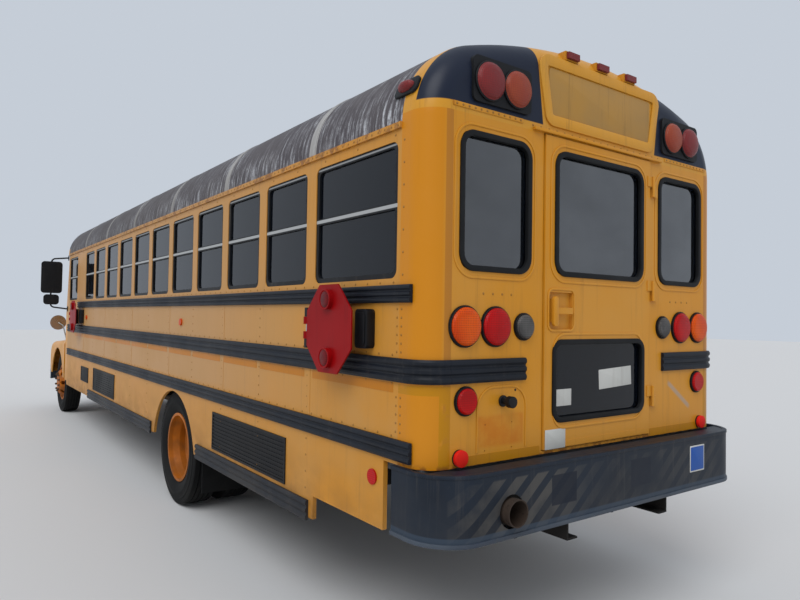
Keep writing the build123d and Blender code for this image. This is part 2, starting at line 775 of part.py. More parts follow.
# Crossmembers between the rails, sills under the floor, and the brackets of the mud flaps
EXHAUST_IN = 235.0
SILENCER_TOP = 630.0
SEAT_GAP = 0.3
# exhaust hangers on the crossmembers: station, top of the pipe or silencer there
HANGERS = [(2700.0, 648.0), (5800.0, SILENCER_TOP)]
HANGER_WIDE = 20.0
HANGER_LONG = 30.0
CROSS_STATIONS = (300.0, 1500.0, 2700.0, 4500.0, 5800.0, 7100.0, 8300.0)
CROSS_WIDE = 60.0
CROSS_LOW = FRAME_TOP - 190
CROSS_STEP = FRAME_TOP - 60
CROSS_TOP = FRAME_TOP - 12
CROSS_WEB = 8.0
CROSS_HALF = RAIL_HALF - CHANNEL_THICK
SILL_COUNT = 13
SILL_FIRST = 420.0
SILL_STEP = WINDOW_PITCH
SILL_WIDE = 50.0
SILL_HALF = 1150.0
SILL_SHORT = 560.0
PIPE_TOP = PIPE_Z + 40
FLAP_REACH = 1180.0
with BuildPart() as crossmembers:
    for station in CROSS_STATIONS:
        add(box(st(station - CROSS_WIDE / 2), st(station + CROSS_WIDE / 2), -CROSS_HALF, CROSS_HALF,
                CROSS_STEP, CROSS_TOP))
        add(box(st(station - CROSS_WEB / 2), st(station + CROSS_WEB / 2), -CROSS_HALF, CROSS_HALF,
                CROSS_LOW, CROSS_TOP))
    for station, top in HANGERS:
        add(box(st(station - HANGER_LONG / 2), st(station + HANGER_LONG / 2),
                EXHAUST_IN - HANGER_WIDE / 2, EXHAUST_IN + HANGER_WIDE / 2,
                top + SEAT_GAP, CROSS_LOW + 1))
    for index in range(SILL_COUNT):
        sill = SILL_FIRST + index * SILL_STEP
        near_wheel = abs(sill - REAR_AXLE) < WHEELHOUSE_HALF + SILL_WIDE
        in_step = ENTRY_REAR - 60 < sill < ENTRY_FRONT + 60
        left_half = SILL_SHORT if near_wheel else SILL_HALF
        right_half = SILL_SHORT if near_wheel or in_step else SILL_HALF
        add(box(st(sill - SILL_WIDE / 2), st(sill + SILL_WIDE / 2), -right_half, left_half,
                FRAME_TOP, FLOOR_TOP - FLOOR_THICK))
    # hanger of the tail pipe, under the rearmost sill
    add(box(st(SILL_FIRST - HANGER_LONG / 2), st(SILL_FIRST + HANGER_LONG / 2),
            PIPE_Y - HANGER_WIDE / 2, PIPE_Y + HANGER_WIDE / 2, PIPE_TOP + SEAT_GAP, FRAME_TOP + 1))
    for side in (-1, 1):
        add(box(st(FLAP_X + 10), st(FLAP_X + 40), side * RAIL_HALF, side * FLAP_REACH,
                FRAME_TOP - 40, FRAME_TOP - 6))
crossmembers.part.label = "crossmembers"
export_step(crossmembers.part, "parts/crossmembers.step")

# Towing eyes under the rails, behind the rear bumper
TOW_EYE = 260.0
TOW_EYE_Z = 555.0
TOW_EYE_R = 22.0
TOW_THICK = 20.0
TOW_WIDE = 100.0
TOW_BELOW = 45.0
with BuildPart() as tow_eyes:
    for side in (-1, 1):
        inside = RAIL_HALF - TOW_THICK
        add(box(st(TOW_EYE - TOW_WIDE / 2), st(TOW_EYE + TOW_WIDE / 2), side * inside,
                side * RAIL_HALF, TOW_EYE_Z - TOW_BELOW, FRAME_LOW))
        add(
            axle_post(TOW_EYE, TOW_EYE_Z, side * (inside - 1), side * (RAIL_HALF + 1), TOW_EYE_R),
            mode=Mode.SUBTRACT,
        )
tow_eyes.part.label = "tow_eyes"
export_step(tow_eyes.part, "parts/tow_eyes.step")


# Tyres: sidewalls drawn as arcs between the bead and the shoulder
def tyre(centre_y: float, station: float) -> Part:
    """Radial truck tyre standing on the ground."""
    half = TYRE_WIDTH / 2
    bead = RIM_R + 0.3
    with BuildPart() as form:
        with BuildSketch(Plane.XY):
            with BuildLine():
                Line((bead, -RIM_HALF + 2), (bead, RIM_HALF - 2))
                Line((bead, RIM_HALF - 2), (bead + 24, RIM_HALF))
                ThreePointArc(
                    (bead + 24, RIM_HALF),
                    ((bead + TYRE_R) / 2, half),
                    (TYRE_R - TYRE_SHOULDER, half - 14),
                )
                Line((TYRE_R - TYRE_SHOULDER, half - 14), (TYRE_R, half - 34))
                Line((TYRE_R, half - 34), (TYRE_R, 34 - half))
                Line((TYRE_R, 34 - half), (TYRE_R - TYRE_SHOULDER, 14 - half))
                ThreePointArc(
                    (TYRE_R - TYRE_SHOULDER, 14 - half),
                    ((bead + TYRE_R) / 2, -half),
                    (bead + 24, -RIM_HALF),
                )
                Line((bead + 24, -RIM_HALF), (bead, -RIM_HALF + 2))
            make_face()
        revolve(axis=Axis.Y)
    return Pos(st(station), centre_y, TYRE_R) * form.part


DISC_OUT = DUAL_SPACING / 2  # mounting face of the disc beyond the middle of the rim
DISC_THICK = 12.0
HUB_R = 118.0
HAND_HOLES = 8
HAND_HOLE_R = 32.0
HAND_HOLE_RING = 205.0


def rim(centre_y: float, station: float, out: float) -> Part:
    """Steel disc wheel; out says on which side of the rim the disc bulges."""
    flange = RIM_R + RIM_FLANGE
    points = [
        (-RIM_HALF - 8, flange),
        (-RIM_HALF, flange),
        (-RIM_HALF, RIM_R),
        (-RIM_HALF + 30, RIM_R - 6),
        (-10, RIM_R - 26),
        (20, RIM_R - 26),
        (RIM_HALF - 25, RIM_R - 6),
        (RIM_HALF, RIM_R),
        (RIM_HALF, flange),
        (RIM_HALF + 8, flange),
        (RIM_HALF + 8, RIM_R - RIM_THICK),
        (RIM_HALF - 20, RIM_R - 6 - RIM_THICK),
        (60, RIM_R - 20 - RIM_THICK),
        (DISC_OUT - 20, 200),
        (DISC_OUT, 165),
        (DISC_OUT, HUB_R),
        (DISC_OUT - DISC_THICK, HUB_R),
        (DISC_OUT - DISC_THICK, 160),
        (DISC_OUT - 34, 190),
        (40, RIM_R - 26 - RIM_THICK),
        (-10, RIM_R - 26 - RIM_THICK),
        (-RIM_HALF + 30, RIM_R - 6 - RIM_THICK),
        (-RIM_HALF - 8, RIM_R - RIM_THICK),
    ]
    with BuildPart() as form:
        with BuildSketch(Plane.XY):
            with BuildLine():
                Polyline(*[(radius, out * along) for along, radius in points], close=True)
            make_face()
        revolve(axis=Axis.Y)
        with BuildSketch(Plane.XZ.offset(-out * (DISC_OUT + 20))):
            with PolarLocations(HAND_HOLE_RING, HAND_HOLES):
                Circle(HAND_HOLE_R)
        extrude(amount=out * (DISC_OUT - 30), mode=Mode.SUBTRACT)
    return Pos(st(station), centre_y, TYRE_R) * form.part


REAR_INNER = REAR_TRACK_OUTER - DUAL_SPACING
DUAL_FACE = (REAR_TRACK_OUTER + REAR_INNER) / 2
REAR_TUBE_R = 60.0
DRUM_R = 215.0
REAR_HUB_END = 1010.0
with BuildPart() as rear_axle:
    add(axle_post(REAR_AXLE, TYRE_R, -REAR_HUB_END + 40, REAR_HUB_END - 40, REAR_TUBE_R))
    with Locations((st(REAR_AXLE), 0, TYRE_R)):
        Sphere(205)
    with BuildSketch(Plane.YZ.offset(st(REAR_AXLE))):
        with Locations((0, SHAFT_Z)):
            Circle(80)
    extrude(amount=330)
    for side in (-1, 1):
        add(
            box(st(REAR_AXLE - 60), st(REAR_AXLE + 60), side * 446, side * 534,
                TYRE_R, TYRE_R + REAR_TUBE_R + 12)
        )
rear_axle.part.label = "rear_axle"
export_step(rear_axle.part, "parts/rear_axle.step")

for side, name in ((1, "left"), (-1, "right")):
    with BuildPart() as duals:
        add(tyre(side * REAR_TRACK_OUTER, REAR_AXLE))
        add(tyre(side * REAR_INNER, REAR_AXLE))
    duals.part.label = "rear_tires_" + name
    export_step(duals.part, "parts/rear_tires_" + name + ".step")

    with BuildPart() as dual_rims:
        add(rim(side * REAR_TRACK_OUTER, REAR_AXLE, -side))
        add(rim(side * REAR_INNER, REAR_AXLE, side))
        # hub from the drum out to the axle flange
        add(axle_post(REAR_AXLE, TYRE_R, side * 690, side * (REAR_HUB_END + 40), HUB_R))
        add(axle_post(REAR_AXLE, TYRE_R, side * 640, side * 870, DRUM_R))
        bore = REAR_TUBE_R + RUNNING_GAP
        add(
            axle_post(REAR_AXLE, TYRE_R, side * 630, side * (REAR_HUB_END - 38), bore),
            mode=Mode.SUBTRACT,
        )
    dual_rims.part.label = "rear_rims_" + name
    export_step(dual_rims.part, "parts/rear_rims_" + name + ".step")

# Front axle, knuckles and wheels
BEAM_Z = 400.0
BOSS_HALF = 50.0
BOSS_R = 46.0
YOKE = 24.0
with BuildPart() as front_axle:
    with BuildSketch(Plane.YZ.offset(st(FRONT_AXLE) - 45)):
        with BuildLine():
            Polyline(
                (-KINGPIN_Y, TYRE_R - BOSS_HALF),
                (-KINGPIN_Y + 110, TYRE_R - BOSS_HALF),
                (-560, BEAM_Z - 30),
                (560, BEAM_Z - 30),
                (KINGPIN_Y - 110, TYRE_R - BOSS_HALF),
                (KINGPIN_Y, TYRE_R - BOSS_HALF),
                (KINGPIN_Y, TYRE_R + BOSS_HALF),
                (KINGPIN_Y - 70, TYRE_R + BOSS_HALF),
                (560, BEAM_Z + 60),
                (-560, BEAM_Z + 60),
                (-KINGPIN_Y + 70, TYRE_R + BOSS_HALF),
                (-KINGPIN_Y, TYRE_R + BOSS_HALF),
                close=True,
            )
        make_face()
    extrude(amount=90)
    for side in (-1, 1):
        with BuildSketch(Plane.XY.offset(TYRE_R - BOSS_HALF)):
            with Locations((st(FRONT_AXLE), side * KINGPIN_Y)):
                Circle(BOSS_R)
        extrude(amount=2 * BOSS_HALF)
        with BuildSketch(Plane.XY.offset(TYRE_R - BOSS_HALF)):
            with Locations((st(FRONT_AXLE), side * KINGPIN_Y)):
                Circle(KINGPIN_R + RUNNING_GAP)
        extrude(amount=2 * BOSS_HALF, mode=Mode.SUBTRACT)
        add(
            box(st(FRONT_AXLE - 55), st(FRONT_AXLE + 55), side * 354, side * RAIL_HALF,
                BEAM_Z + 55, BEAM_Z + 75)
        )
front_axle.part.label = "front_axle"
export_step(front_axle.part, "parts/front_axle.step")

FRONT_HUB_END = 1150.0
ARM_X = -180.0  # steering arms reach behind the axle
ARM_Z = 400.0
YOKE_GAP = 0.5
for side, name in ((1, "left"), (-1, "right")):
    with BuildPart() as knuckle:
        for z in (TYRE_R + BOSS_HALF + YOKE_GAP, TYRE_R - BOSS_HALF - YOKE_GAP - YOKE):
            with BuildSketch(Plane.XY.offset(z)):
                with Locations((st(FRONT_AXLE), side * KINGPIN_Y)):
                    Circle(BOSS_R)
                with Locations((st(FRONT_AXLE), side * (KINGPIN_Y + 42))):
                    Rectangle(2 * BOSS_R, 84)
            extrude(amount=YOKE)
        with BuildSketch(Plane.XY.offset(TYRE_R - BOSS_HALF - YOKE_GAP - YOKE)):
            with Locations((st(FRONT_AXLE), side * KINGPIN_Y)):
                Circle(KINGPIN_R)
        extrude(amount=2 * (BOSS_HALF + YOKE_GAP + YOKE))
        top = TYRE_R + BOSS_HALF + YOKE_GAP + YOKE
        bottom = TYRE_R - BOSS_HALF - YOKE_GAP - YOKE
        add(
            box(st(FRONT_AXLE - BOSS_R), st(FRONT_AXLE + BOSS_R), side * (KINGPIN_Y + 54),
                side * (KINGPIN_Y + 84), bottom, top)
        )
        add(
            axle_post(FRONT_AXLE, TYRE_R, side * (KINGPIN_Y + 80), side * (FRONT_HUB_END - 20),
                      SPINDLE_R)
        )
        # steering arm to the tie rod
        add(
            box(st(FRONT_AXLE + ARM_X - 25), st(FRONT_AXLE - 10), side * (KINGPIN_Y + 4),
                side * (KINGPIN_Y + 44), ARM_Z - 12 + 12, bottom + YOKE)
        )
    knuckle.part.label = "knuckle_" + name
    export_step(knuckle.part, "parts/knuckle_" + name + ".step")

    front_tyre = tyre(side * FRONT_TRACK, FRONT_AXLE)
    front_tyre.label = "front_tire_" + name
    export_step(front_tyre, "parts/front_tire_" + name + ".step")

    with BuildPart() as front_rim:
        add(rim(side * FRONT_TRACK, FRONT_AXLE, side))
        add(axle_post(FRONT_AXLE, TYRE_R, side * 930, side * (FRONT_HUB_END + 50), HUB_R))
        add(axle_post(FRONT_AXLE, TYRE_R, side * 930, side * 1080, DRUM_R))
        add(
            axle_post(FRONT_AXLE, TYRE_R, side * 900, side * (FRONT_HUB_END - 18),
                      SPINDLE_R + RUNNING_GAP),
            mode=Mode.SUBTRACT,
        )
    front_rim.part.label = "front_rim_" + name
    export_step(front_rim.part, "parts/front_rim_" + name + ".step")

TIE_R = 16.0
TIE_Y = KINGPIN_Y + 24
with BuildPart() as tie_rod:
    add(axle_post(FRONT_AXLE + ARM_X, ARM_Z - 20, -TIE_Y, TIE_Y, TIE_R))
    for side in (-1, 1):
        with BuildSketch(Plane.XY.offset(ARM_Z - 40)):
            with Locations((st(FRONT_AXLE + ARM_X), side * TIE_Y)):
                Circle(22)
        extrude(amount=39.5)
tie_rod.part.label = "tie_rod"
export_step(tie_rod.part, "parts/tie_rod.step")


def spring_pack(station: float, half_length: float, sag: float, y_mid: float, z_mid: float,
                hanger_top: float) -> Part:
    """Leaf pack: three curved leaves of falling length, with hangers up to the frame."""
    with BuildPart() as pack:
        for index, share in enumerate((1.0, 0.8, 0.55)):
            reach = half_length * share
            rise = sag * share**2
            base = z_mid - 16.0 * index
            with BuildSketch(Plane.XZ.offset(-(y_mid - 36))):
                with BuildLine():
                    ThreePointArc(
                        (st(station) - reach, base + rise),
                        (st(station), base),
                        (st(station) + reach, base + rise),
                    )
                    Line((st(station) + reach, base + rise), (st(station) + reach, base + rise + 15.9))
                    ThreePointArc(
                        (st(station) + reach, base + rise + 15.9),
                        (st(station), base + 16.0),
                        (st(station) - reach, base + rise + 15.9),
                    )
                    Line((st(station) - reach, base + rise + 15.9), (st(station) - reach, base + rise))
                make_face()
            extrude(amount=-72)
        for end in (-1, 1):
            x = st(station) + end * half_length
            add(box(x - 30, x + 30, y_mid - 36, y_mid + 36, z_mid + sag - 12, hanger_top))
    return pack.part


FRONT_SPRING_Y = 392.0
REAR_SPRING_Y = 490.0
with BuildPart() as leaf_springs:
    for side in (-1, 1):
        add(spring_pack(FRONT_AXLE, 620, 60, side * FRONT_SPRING_Y, BEAM_Z + 75 + 32, FRAME_LOW))
        add(spring_pack(REAR_AXLE, 700, 70, side * REAR_SPRING_Y, TYRE_R + REAR_TUBE_R + 12 + 32, 720))
        for end in (-1, 1):
            x = st(REAR_AXLE) + end * 700
            add(box(x - 30, x + 30, side * RAIL_HALF, side * (REAR_SPRING_Y + 36), 690, 760))
leaf_springs.part.label = "leaf_springs"
export_step(leaf_springs.part, "parts/leaf_springs.step")

# Engine, gearbox, drive shaft and radiator
GEARBOX_END = 8650.0
with BuildPart() as engine:
    add(box(st(9420), st(10420), -330, 330, 640, 1380))
    for side in (-1, 1):
        add(
            box(st(9900), st(10000), side * 330, side * (RAIL_HALF - CHANNEL_THICK), 640, 720)
        )
    with BuildSketch(Plane.YZ.offset(st(9420))):
        with Locations((0, 740)):
            Circle(230)
    with BuildSketch(Plane.YZ.offset(st(9150))):
        with Locations((0, 690)):
            Circle(180)
    loft()
    with BuildSketch(Plane.YZ.offset(st(9150))):
        with Locations((0, 690)):
            Circle(180)
    extrude(amount=-380)
    with BuildSketch(Plane.YZ.offset(st(8770))):
        with Locations((0, SHAFT_Z + 40)):
            Circle(85)
    extrude(amount=-(8770 - GEARBOX_END))
engine.part.label = "engine"
export_step(engine.part, "parts/engine.step")

CARRIER = 5800.0
with BuildPart() as driveshaft:
    with BuildSketch(Plane.YZ.offset(st(REAR_AXLE + 330))):
        with Locations((0, SHAFT_Z)):
            Circle(SHAFT_R)
    extrude(amount=GEARBOX_END - REAR_AXLE - 330)
    for station in (REAR_AXLE + 330, GEARBOX_END - 90):
        with BuildSketch(Plane.YZ.offset(st(station))):
            with Locations((0, SHAFT_Z)):
                Circle(72)
        extrude(amount=90)
    add(box(st(CARRIER - 30), st(CARRIER + 30), -90, 90, SHAFT_Z - 70, FRAME_TOP - 190))
driveshaft.part.label = "driveshaft"
export_step(driveshaft.part, "parts/driveshaft.step")

with BuildPart() as radiator:
    add(box(st(10560), st(10640), -340, 340, 760, 1330))
    for side in (-1, 1):
        add(box(st(10560), st(10640), side * 340, side * RAIL_HALF, FRAME_TOP, 890))
radiator.part.label = "radiator"
export_step(radiator.part, "parts/radiator.step")

# Fuel tank on the right frame rail
with BuildPart() as fuel_tank:
    with BuildSketch(Plane.YZ.offset(st(4900))):
        with Locations((-760, 700)):
            RectangleRounded(660, 280, 60)
    extrude(amount=1300)
fuel_tank.part.label = "fuel_tank"
export_step(fuel_tank.part, "parts/fuel_tank.step")

# Exhaust: one bent pipe with its silencer, out through the rear bumper
PIPE_COLLAR = 38.0  # the tip's collar, all of it outside the bumper
with BuildPart() as exhaust:
    with BuildLine() as route:
        FilletPolyline(
            (st(8500), EXHAUST_IN, 500),
            (st(4700), EXHAUST_IN, 500),
            (st(4300), EXHAUST_IN, 608),
            (st(2600), EXHAUST_IN, 608),
            (st(2300), EXHAUST_IN, 520),
            (st(1900), PIPE_Y, 520),
            (st(1100), PIPE_Y, PIPE_Z),
            (st(-PIPE_TIP), PIPE_Y, PIPE_Z),
            radius=140,
        )
    with BuildSketch(Plane(origin=route.line @ 0, z_dir=route.line % 0)):
        Circle(40)
    sweep()
    with BuildSketch(Plane.YZ.offset(st(5100))):
        with Locations((EXHAUST_IN, 500)):
            Ellipse(105, 130)
    extrude(amount=1200)
    with BuildSketch(Plane.YZ.offset(st(-PIPE_TIP))):
        with Locations((PIPE_Y, PIPE_Z)):
            Circle(PIPE_R)
    extrude(amount=PIPE_COLLAR)
    with BuildSketch(Plane.YZ.offset(st(-PIPE_TIP))):
        with Locations((PIPE_Y, PIPE_Z)):
            Circle(PIPE_R - 3.5)
    extrude(amount=520)
    with BuildSketch(Plane.YZ.offset(st(-PIPE_TIP))):
        with Locations((PIPE_Y, PIPE_Z)):
            Circle(PIPE_R - 6)
    extrude(amount=400, mode=Mode.SUBTRACT)
exhaust.part.label = "exhaust"
export_step(exhaust.part, "parts/exhaust.step")


# Rear bumper: a deep wrapped channel
def bumper_outline(inset: float) -> Sketch:
    """Bumper plan, open towards the bus once a smaller one is cut from it."""
    half = BUMPER_HALF - inset
    back = -BUMPER_PROUD + inset
    radius = BUMPER_R - inset
    front = BUMPER_WRAP + (1 if inset else 0)
    cut = radius * (1 - cos(radians(45)))
    near = st(back + cut)
    with BuildSketch() as face:
        with BuildLine():
            Line((st(front), half), (st(back + radius), half))
            ThreePointArc((st(back + radius), half), (near, half - cut), (st(back), half - radius))
            Line((st(back), half - radius), (st(back), -half + radius))
            ThreePointArc((st(back), radius - half), (near, cut - half), (st(back + radius), -half))
            Line((st(back + radius), -half), (st(front), -half))
            Line((st(front), -half), (st(front), half))
        make_face()
    return face.sketch_local


FLANGE = 12.0
with BuildPart() as rear_bumper:
    with BuildSketch(Plane.XY.offset(BUMPER_LOW)):
        add(bumper_outline(0))
        add(bumper_outline(BUMPER_THICK), mode=Mode.SUBTRACT)
    extrude(amount=BUMPER_HIGH - BUMPER_LOW)
    for z in (BUMPER_LOW, BUMPER_HIGH - FLANGE):
        with BuildSketch(Plane.XY.offset(z)):
            add(bumper_outline(0))
            add(bumper_outline(BUMPER_PROUD - 40), mode=Mode.SUBTRACT)
            with Locations((st(BUMPER_WRAP / 2), 0)):
                Rectangle(BUMPER_WRAP + 6, 2 * BUMPER_HALF, mode=Mode.SUBTRACT)
        extrude(amount=FLANGE)
    for side in (-1, 1):
        add(
            box(st(-BUMPER_PROUD + BUMPER_THICK), st(0), side * (RAIL_HALF - CHANNEL_FLANGE - 3),
                side * (RAIL_HALF + 3), BUMPER_LOW - 1, FRAME_TOP),
            mode=Mode.SUBTRACT,
        )
    with BuildSketch(Plane.YZ.offset(st(-BUMPER_PROUD - 5))):
        with Locations((PIPE_Y, PIPE_Z)):
            Circle(PIPE_R + 14)
    extrude(amount=100, mode=Mode.SUBTRACT)
rear_bumper.part.label = "rear_bumper"
export_step(rear_bumper.part, "parts/rear_bumper.step")

# Front bumper
with BuildPart() as front_bumper:
    with BuildSketch(Plane.XY.offset(FRONT_BUMPER_LOW)):
        with BuildLine():
            Line((st(FRONT_BUMPER_FACE), -850), (st(FRONT_BUMPER_FACE), 850))
            ThreePointArc(
                (st(FRONT_BUMPER_FACE), 850),
                (st(FRONT_BUMPER_FACE - 40), 1060),
                (st(FRONT_BUMPER_FACE - 125), 1200),
            )
            Line((st(FRONT_BUMPER_FACE - 125), 1200), (st(FRONT_BUMPER_FACE - 140), 1188))
            ThreePointArc(
                (st(FRONT_BUMPER_FACE - 140), 1188),
                (st(FRONT_BUMPER_FACE - 58), 1050),
                (st(FRONT_BUMPER_FACE - 20), 845),
            )
            Line((st(FRONT_BUMPER_FACE - 20), 845), (st(FRONT_BUMPER_FACE - 20), -845))
            ThreePointArc(
                (st(FRONT_BUMPER_FACE - 20), -845),
                (st(FRONT_BUMPER_FACE - 58), -1050),
                (st(FRONT_BUMPER_FACE - 140), -1188),
            )
            Line((st(FRONT_BUMPER_FACE - 140), -1188), (st(FRONT_BUMPER_FACE - 125), -1200))
            ThreePointArc(
                (st(FRONT_BUMPER_FACE - 125), -1200),
                (st(FRONT_BUMPER_FACE - 40), -1060),
                (st(FRONT_BUMPER_FACE), -850),
            )
        make_face()
    extrude(amount=FRONT_BUMPER_HIGH - FRONT_BUMPER_LOW)
    for side in (-1, 1):
        add(
            box(st(FRONT_BUMPER_FACE - 100), st(FRONT_BUMPER_FACE - 18), side * 354, side * 430,
                HORN_LOW, HORN_HIGH)
        )
    with BuildSketch(Plane.YZ.offset(st(FRONT_BUMPER_FACE - 30))):
        with Locations((0, (FRONT_BUMPER_LOW + FRONT_BUMPER_HIGH) / 2)):
            with GridLocations(PLATE_WIDE, 0, 2, 1):
                Circle(PLATE_HOLE_R)
    extrude(amount=40, mode=Mode.SUBTRACT)
front_bumper.part.label = "front_bumper"
export_step(front_bumper.part, "parts/front_bumper.step")


# Hood: engine cover and both fenders in one tilting shell
HOOD_REAR = BODY_LENGTH + COWL_DEPTH + HOOD_GAP
COVER_REAR_Z = 1600.0
COVER_NOSE_Z = 1440.0
COVER_NOSE_R = 330.0
COVER_EDGE_R = 110.0
COVER_LOW = 760.0
FENDER_REAR_Z = 1230.0
FENDER_NOSE_Z = 1150.0
FENDER_NOSE_R = 250.0
FENDER_EDGE_R = 90.0
FENDER_LOW = 620.0
FENDER_BACK = 30.0  # fenders end this far behind the nose


def hood_block(outline, nose_corner, nose_radius: float, half: float, edge_radius: float) -> Part:
    """Block across the bus from a side outline, with its nose and its long edges rounded."""
    with BuildPart() as form:
        with BuildSketch(Plane.XZ):
            with BuildLine():
                Polyline(*outline, close=True)
            make_face()
            corner = form_corner(nose_corner)
            fillet(corner, nose_radius)
        extrude(amount=half, both=True)
        sides = [e for e in form.edges() if abs(e.center().Y) > half - 1]
        rear_x = min(x for x, _ in outline)
        low_z = min(z for _, z in outline)
        long_edges = [
            e
            for e in sides
            if e.center().X > rear_x + 5 and e.center().Z > low_z + 5
            and not (abs(e.tangent_at(0.5).Z) > 0.2 and e.center().Z < low_z + 120)
        ]
        fillet(long_edges, edge_radius)
    return form.part


def form_corner(place):
    """The vertex of the sketch in work nearest to a place in its own plane."""
    sketch = BuildSketch._get_context()
    return sketch.vertices().sort_by_distance((place[0], place[1], 0))[0]


def hood_cover(inset: float) -> Part:
    """Middle of the hood, over the engine."""
    over = 1 if inset else 0
    corner = (st(NOSE) - inset, COVER_NOSE_Z - inset)
    outline = [
        (st(HOOD_REAR) - over, COVER_LOW - over),
        (st(HOOD_REAR) - over, COVER_REAR_Z - inset),
        corner,
        (st(NOSE) - inset, COVER_LOW - over),
    ]
    return hood_block(outline, corner, COVER_NOSE_R - inset, HOOD_HALF - inset, COVER_EDGE_R - inset)


def hood_fenders(inset: float) -> Part:
    """Both fenders as one block as wide as the bus."""
    over = 1 if inset else 0
    front = st(NOSE - FENDER_BACK) - inset
    corner = (front, FENDER_NOSE_Z - inset)
    outline = [
        (st(HOOD_REAR) - over, FENDER_LOW - over),
        (st(HOOD_REAR) - over, FENDER_REAR_Z - inset),
        corner,
        (front, 770 - over),
        (st(10700), FENDER_LOW - over),
    ]
    return hood_block(outline, corner, FENDER_NOSE_R - inset, BODY_HALF - inset, FENDER_EDGE_R - inset)


cover_outer = hood_cover(0)
engine_bay = HOOD_HALF - HOOD_SKIN
fenders_outer = hood_fenders(0) - box(
    st(HOOD_REAR - 1), st(NOSE), -engine_bay, engine_bay, FENDER_LOW - 1, COVER_REAR_Z
)
cover_inner = hood_cover(HOOD_SKIN)
fenders_inner = hood_fenders(HOOD_SKIN)
GRILLE_HALF = 400.0
GRILLE_LOW = 830.0
GRILLE_HIGH = 1110.0
LAMP_Y = 930.0
LAMP_Z = 930.0
HEADLAMP_R = 92.0
with BuildPart() as hood:
    add(cover_outer)
    add(fenders_outer)
    add(cover_inner, mode=Mode.SUBTRACT)
    add(fenders_inner, mode=Mode.SUBTRACT)
    for side in (-1, 1):
        arch = arch_face(FRONT_AXLE, FRONT_ARCH_R, TYRE_R + FRONT_ARCH_R)
        add(side_extrude(side, arch, -1, HOOD_SKIN + 2), mode=Mode.SUBTRACT)
    with BuildSketch(Plane.YZ.offset(st(NOSE - 40))):
        with Locations((0, (GRILLE_LOW + GRILLE_HIGH) / 2)):
            RectangleRounded(2 * GRILLE_HALF, GRILLE_HIGH - GRILLE_LOW, 40)
    extrude(amount=60, mode=Mode.SUBTRACT)
    with BuildSketch(Plane.YZ.offset(st(10600))):
        for side in (-1, 1):
            with Locations((side * LAMP_Y, LAMP_Z)):
                Circle(HEADLAMP_R + 8)
    extrude(amount=400, mode=Mode.SUBTRACT)
    for side in (-1, 1):
        near = side * (HOOD_LUG_Y + 20 + HINGE_GAP)
        far = side * (HOOD_LUG_Y + 44)
        add(box(st(NOSE - 5), st(HOOD_PIN), near, far, HOOD_PIN_Z - HOOD_PIN_R,
                HOOD_PIN_Z + HOOD_PIN_R))
        add(axle_post(HOOD_PIN, HOOD_PIN_Z, near, far, HOOD_PIN_R))
hood.part.label = "hood"
export_step(hood.part, "parts/hood.step")


# Rear emergency door, hinged on the bus's right
DOOR_IN = st(-DOOR_PROUD)
DOOR_HALF = REAR_DOOR_HALF - DOOR_GAP
DOOR_BOTTOM = REAR_DOOR_LOW + DOOR_GAP
upper_light = [(-DOOR_WINDOW_HALF, DOOR_WINDOW_HALF)]
lower_light = [(-DOOR_LOWER_HALF, DOOR_LOWER_HALF)]
upper_hole = rear_face(upper_light, DOOR_WINDOW_LOW, DOOR_WINDOW_HIGH, WINDOW_R)
lower_hole = rear_face(lower_light, DOOR_LOWER_LOW, DOOR_LOWER_HIGH, WINDOW_R)
RECESS = 190.0
RECESS_DEEP = 22.0
with BuildPart() as rear_door:
    add(box(DOOR_IN, DOOR_IN + DOOR_THICK, -DOOR_HALF, DOOR_HALF, DOOR_BOTTOM, REAR_DOOR_HIGH))
    for hole in (upper_hole, lower_hole):
        add(across(hole, DOOR_IN - 1, DOOR_IN + DOOR_THICK + 1), mode=Mode.SUBTRACT)
    add(
        box(DOOR_IN - 1, DOOR_IN + RECESS_DEEP, HANDLE_Y - RECESS / 2, HANDLE_Y + RECESS / 2,
            HANDLE_Z - RECESS / 2, HANDLE_Z + RECESS / 2),
        mode=Mode.SUBTRACT,
    )
    add(hinge_halves(st(0) - HINGE_OUT, -HINGE_Y, (-1, 0), 16, (0, 1), 48, HINGE_HEIGHTS, 1)
        & box(st(-40), DOOR_IN, -HINGE_Y - 12, 0, 0, ROOF_TOP))
rear_door.part.label = "rear_door"
export_step(rear_door.part, "parts/rear_door.step")

with BuildPart() as rear_door_glass:
    for hole in (upper_hole, lower_hole):
        add(across(hole, DOOR_IN + 18, DOOR_IN + 18 + GLASS_THICK))
rear_door_glass.part.label = "rear_door_glass"
export_step(rear_door_glass.part, "parts/rear_door_glass.step")

with BuildPart() as rear_door_handle:
    add(box(DOOR_IN - 4, DOOR_IN + RECESS_DEEP, HANDLE_Y + 30, HANDLE_Y + 70, HANDLE_Z - 60,
            HANDLE_Z + 60))
    add(box(DOOR_IN - 16, DOOR_IN - 4, HANDLE_Y - 80, HANDLE_Y + 66, HANDLE_Z - 16, HANDLE_Z + 16))
rear_door_handle.part.label = "rear_door_handle"
export_step(rear_door_handle.part, "parts/rear_door_handle.step")

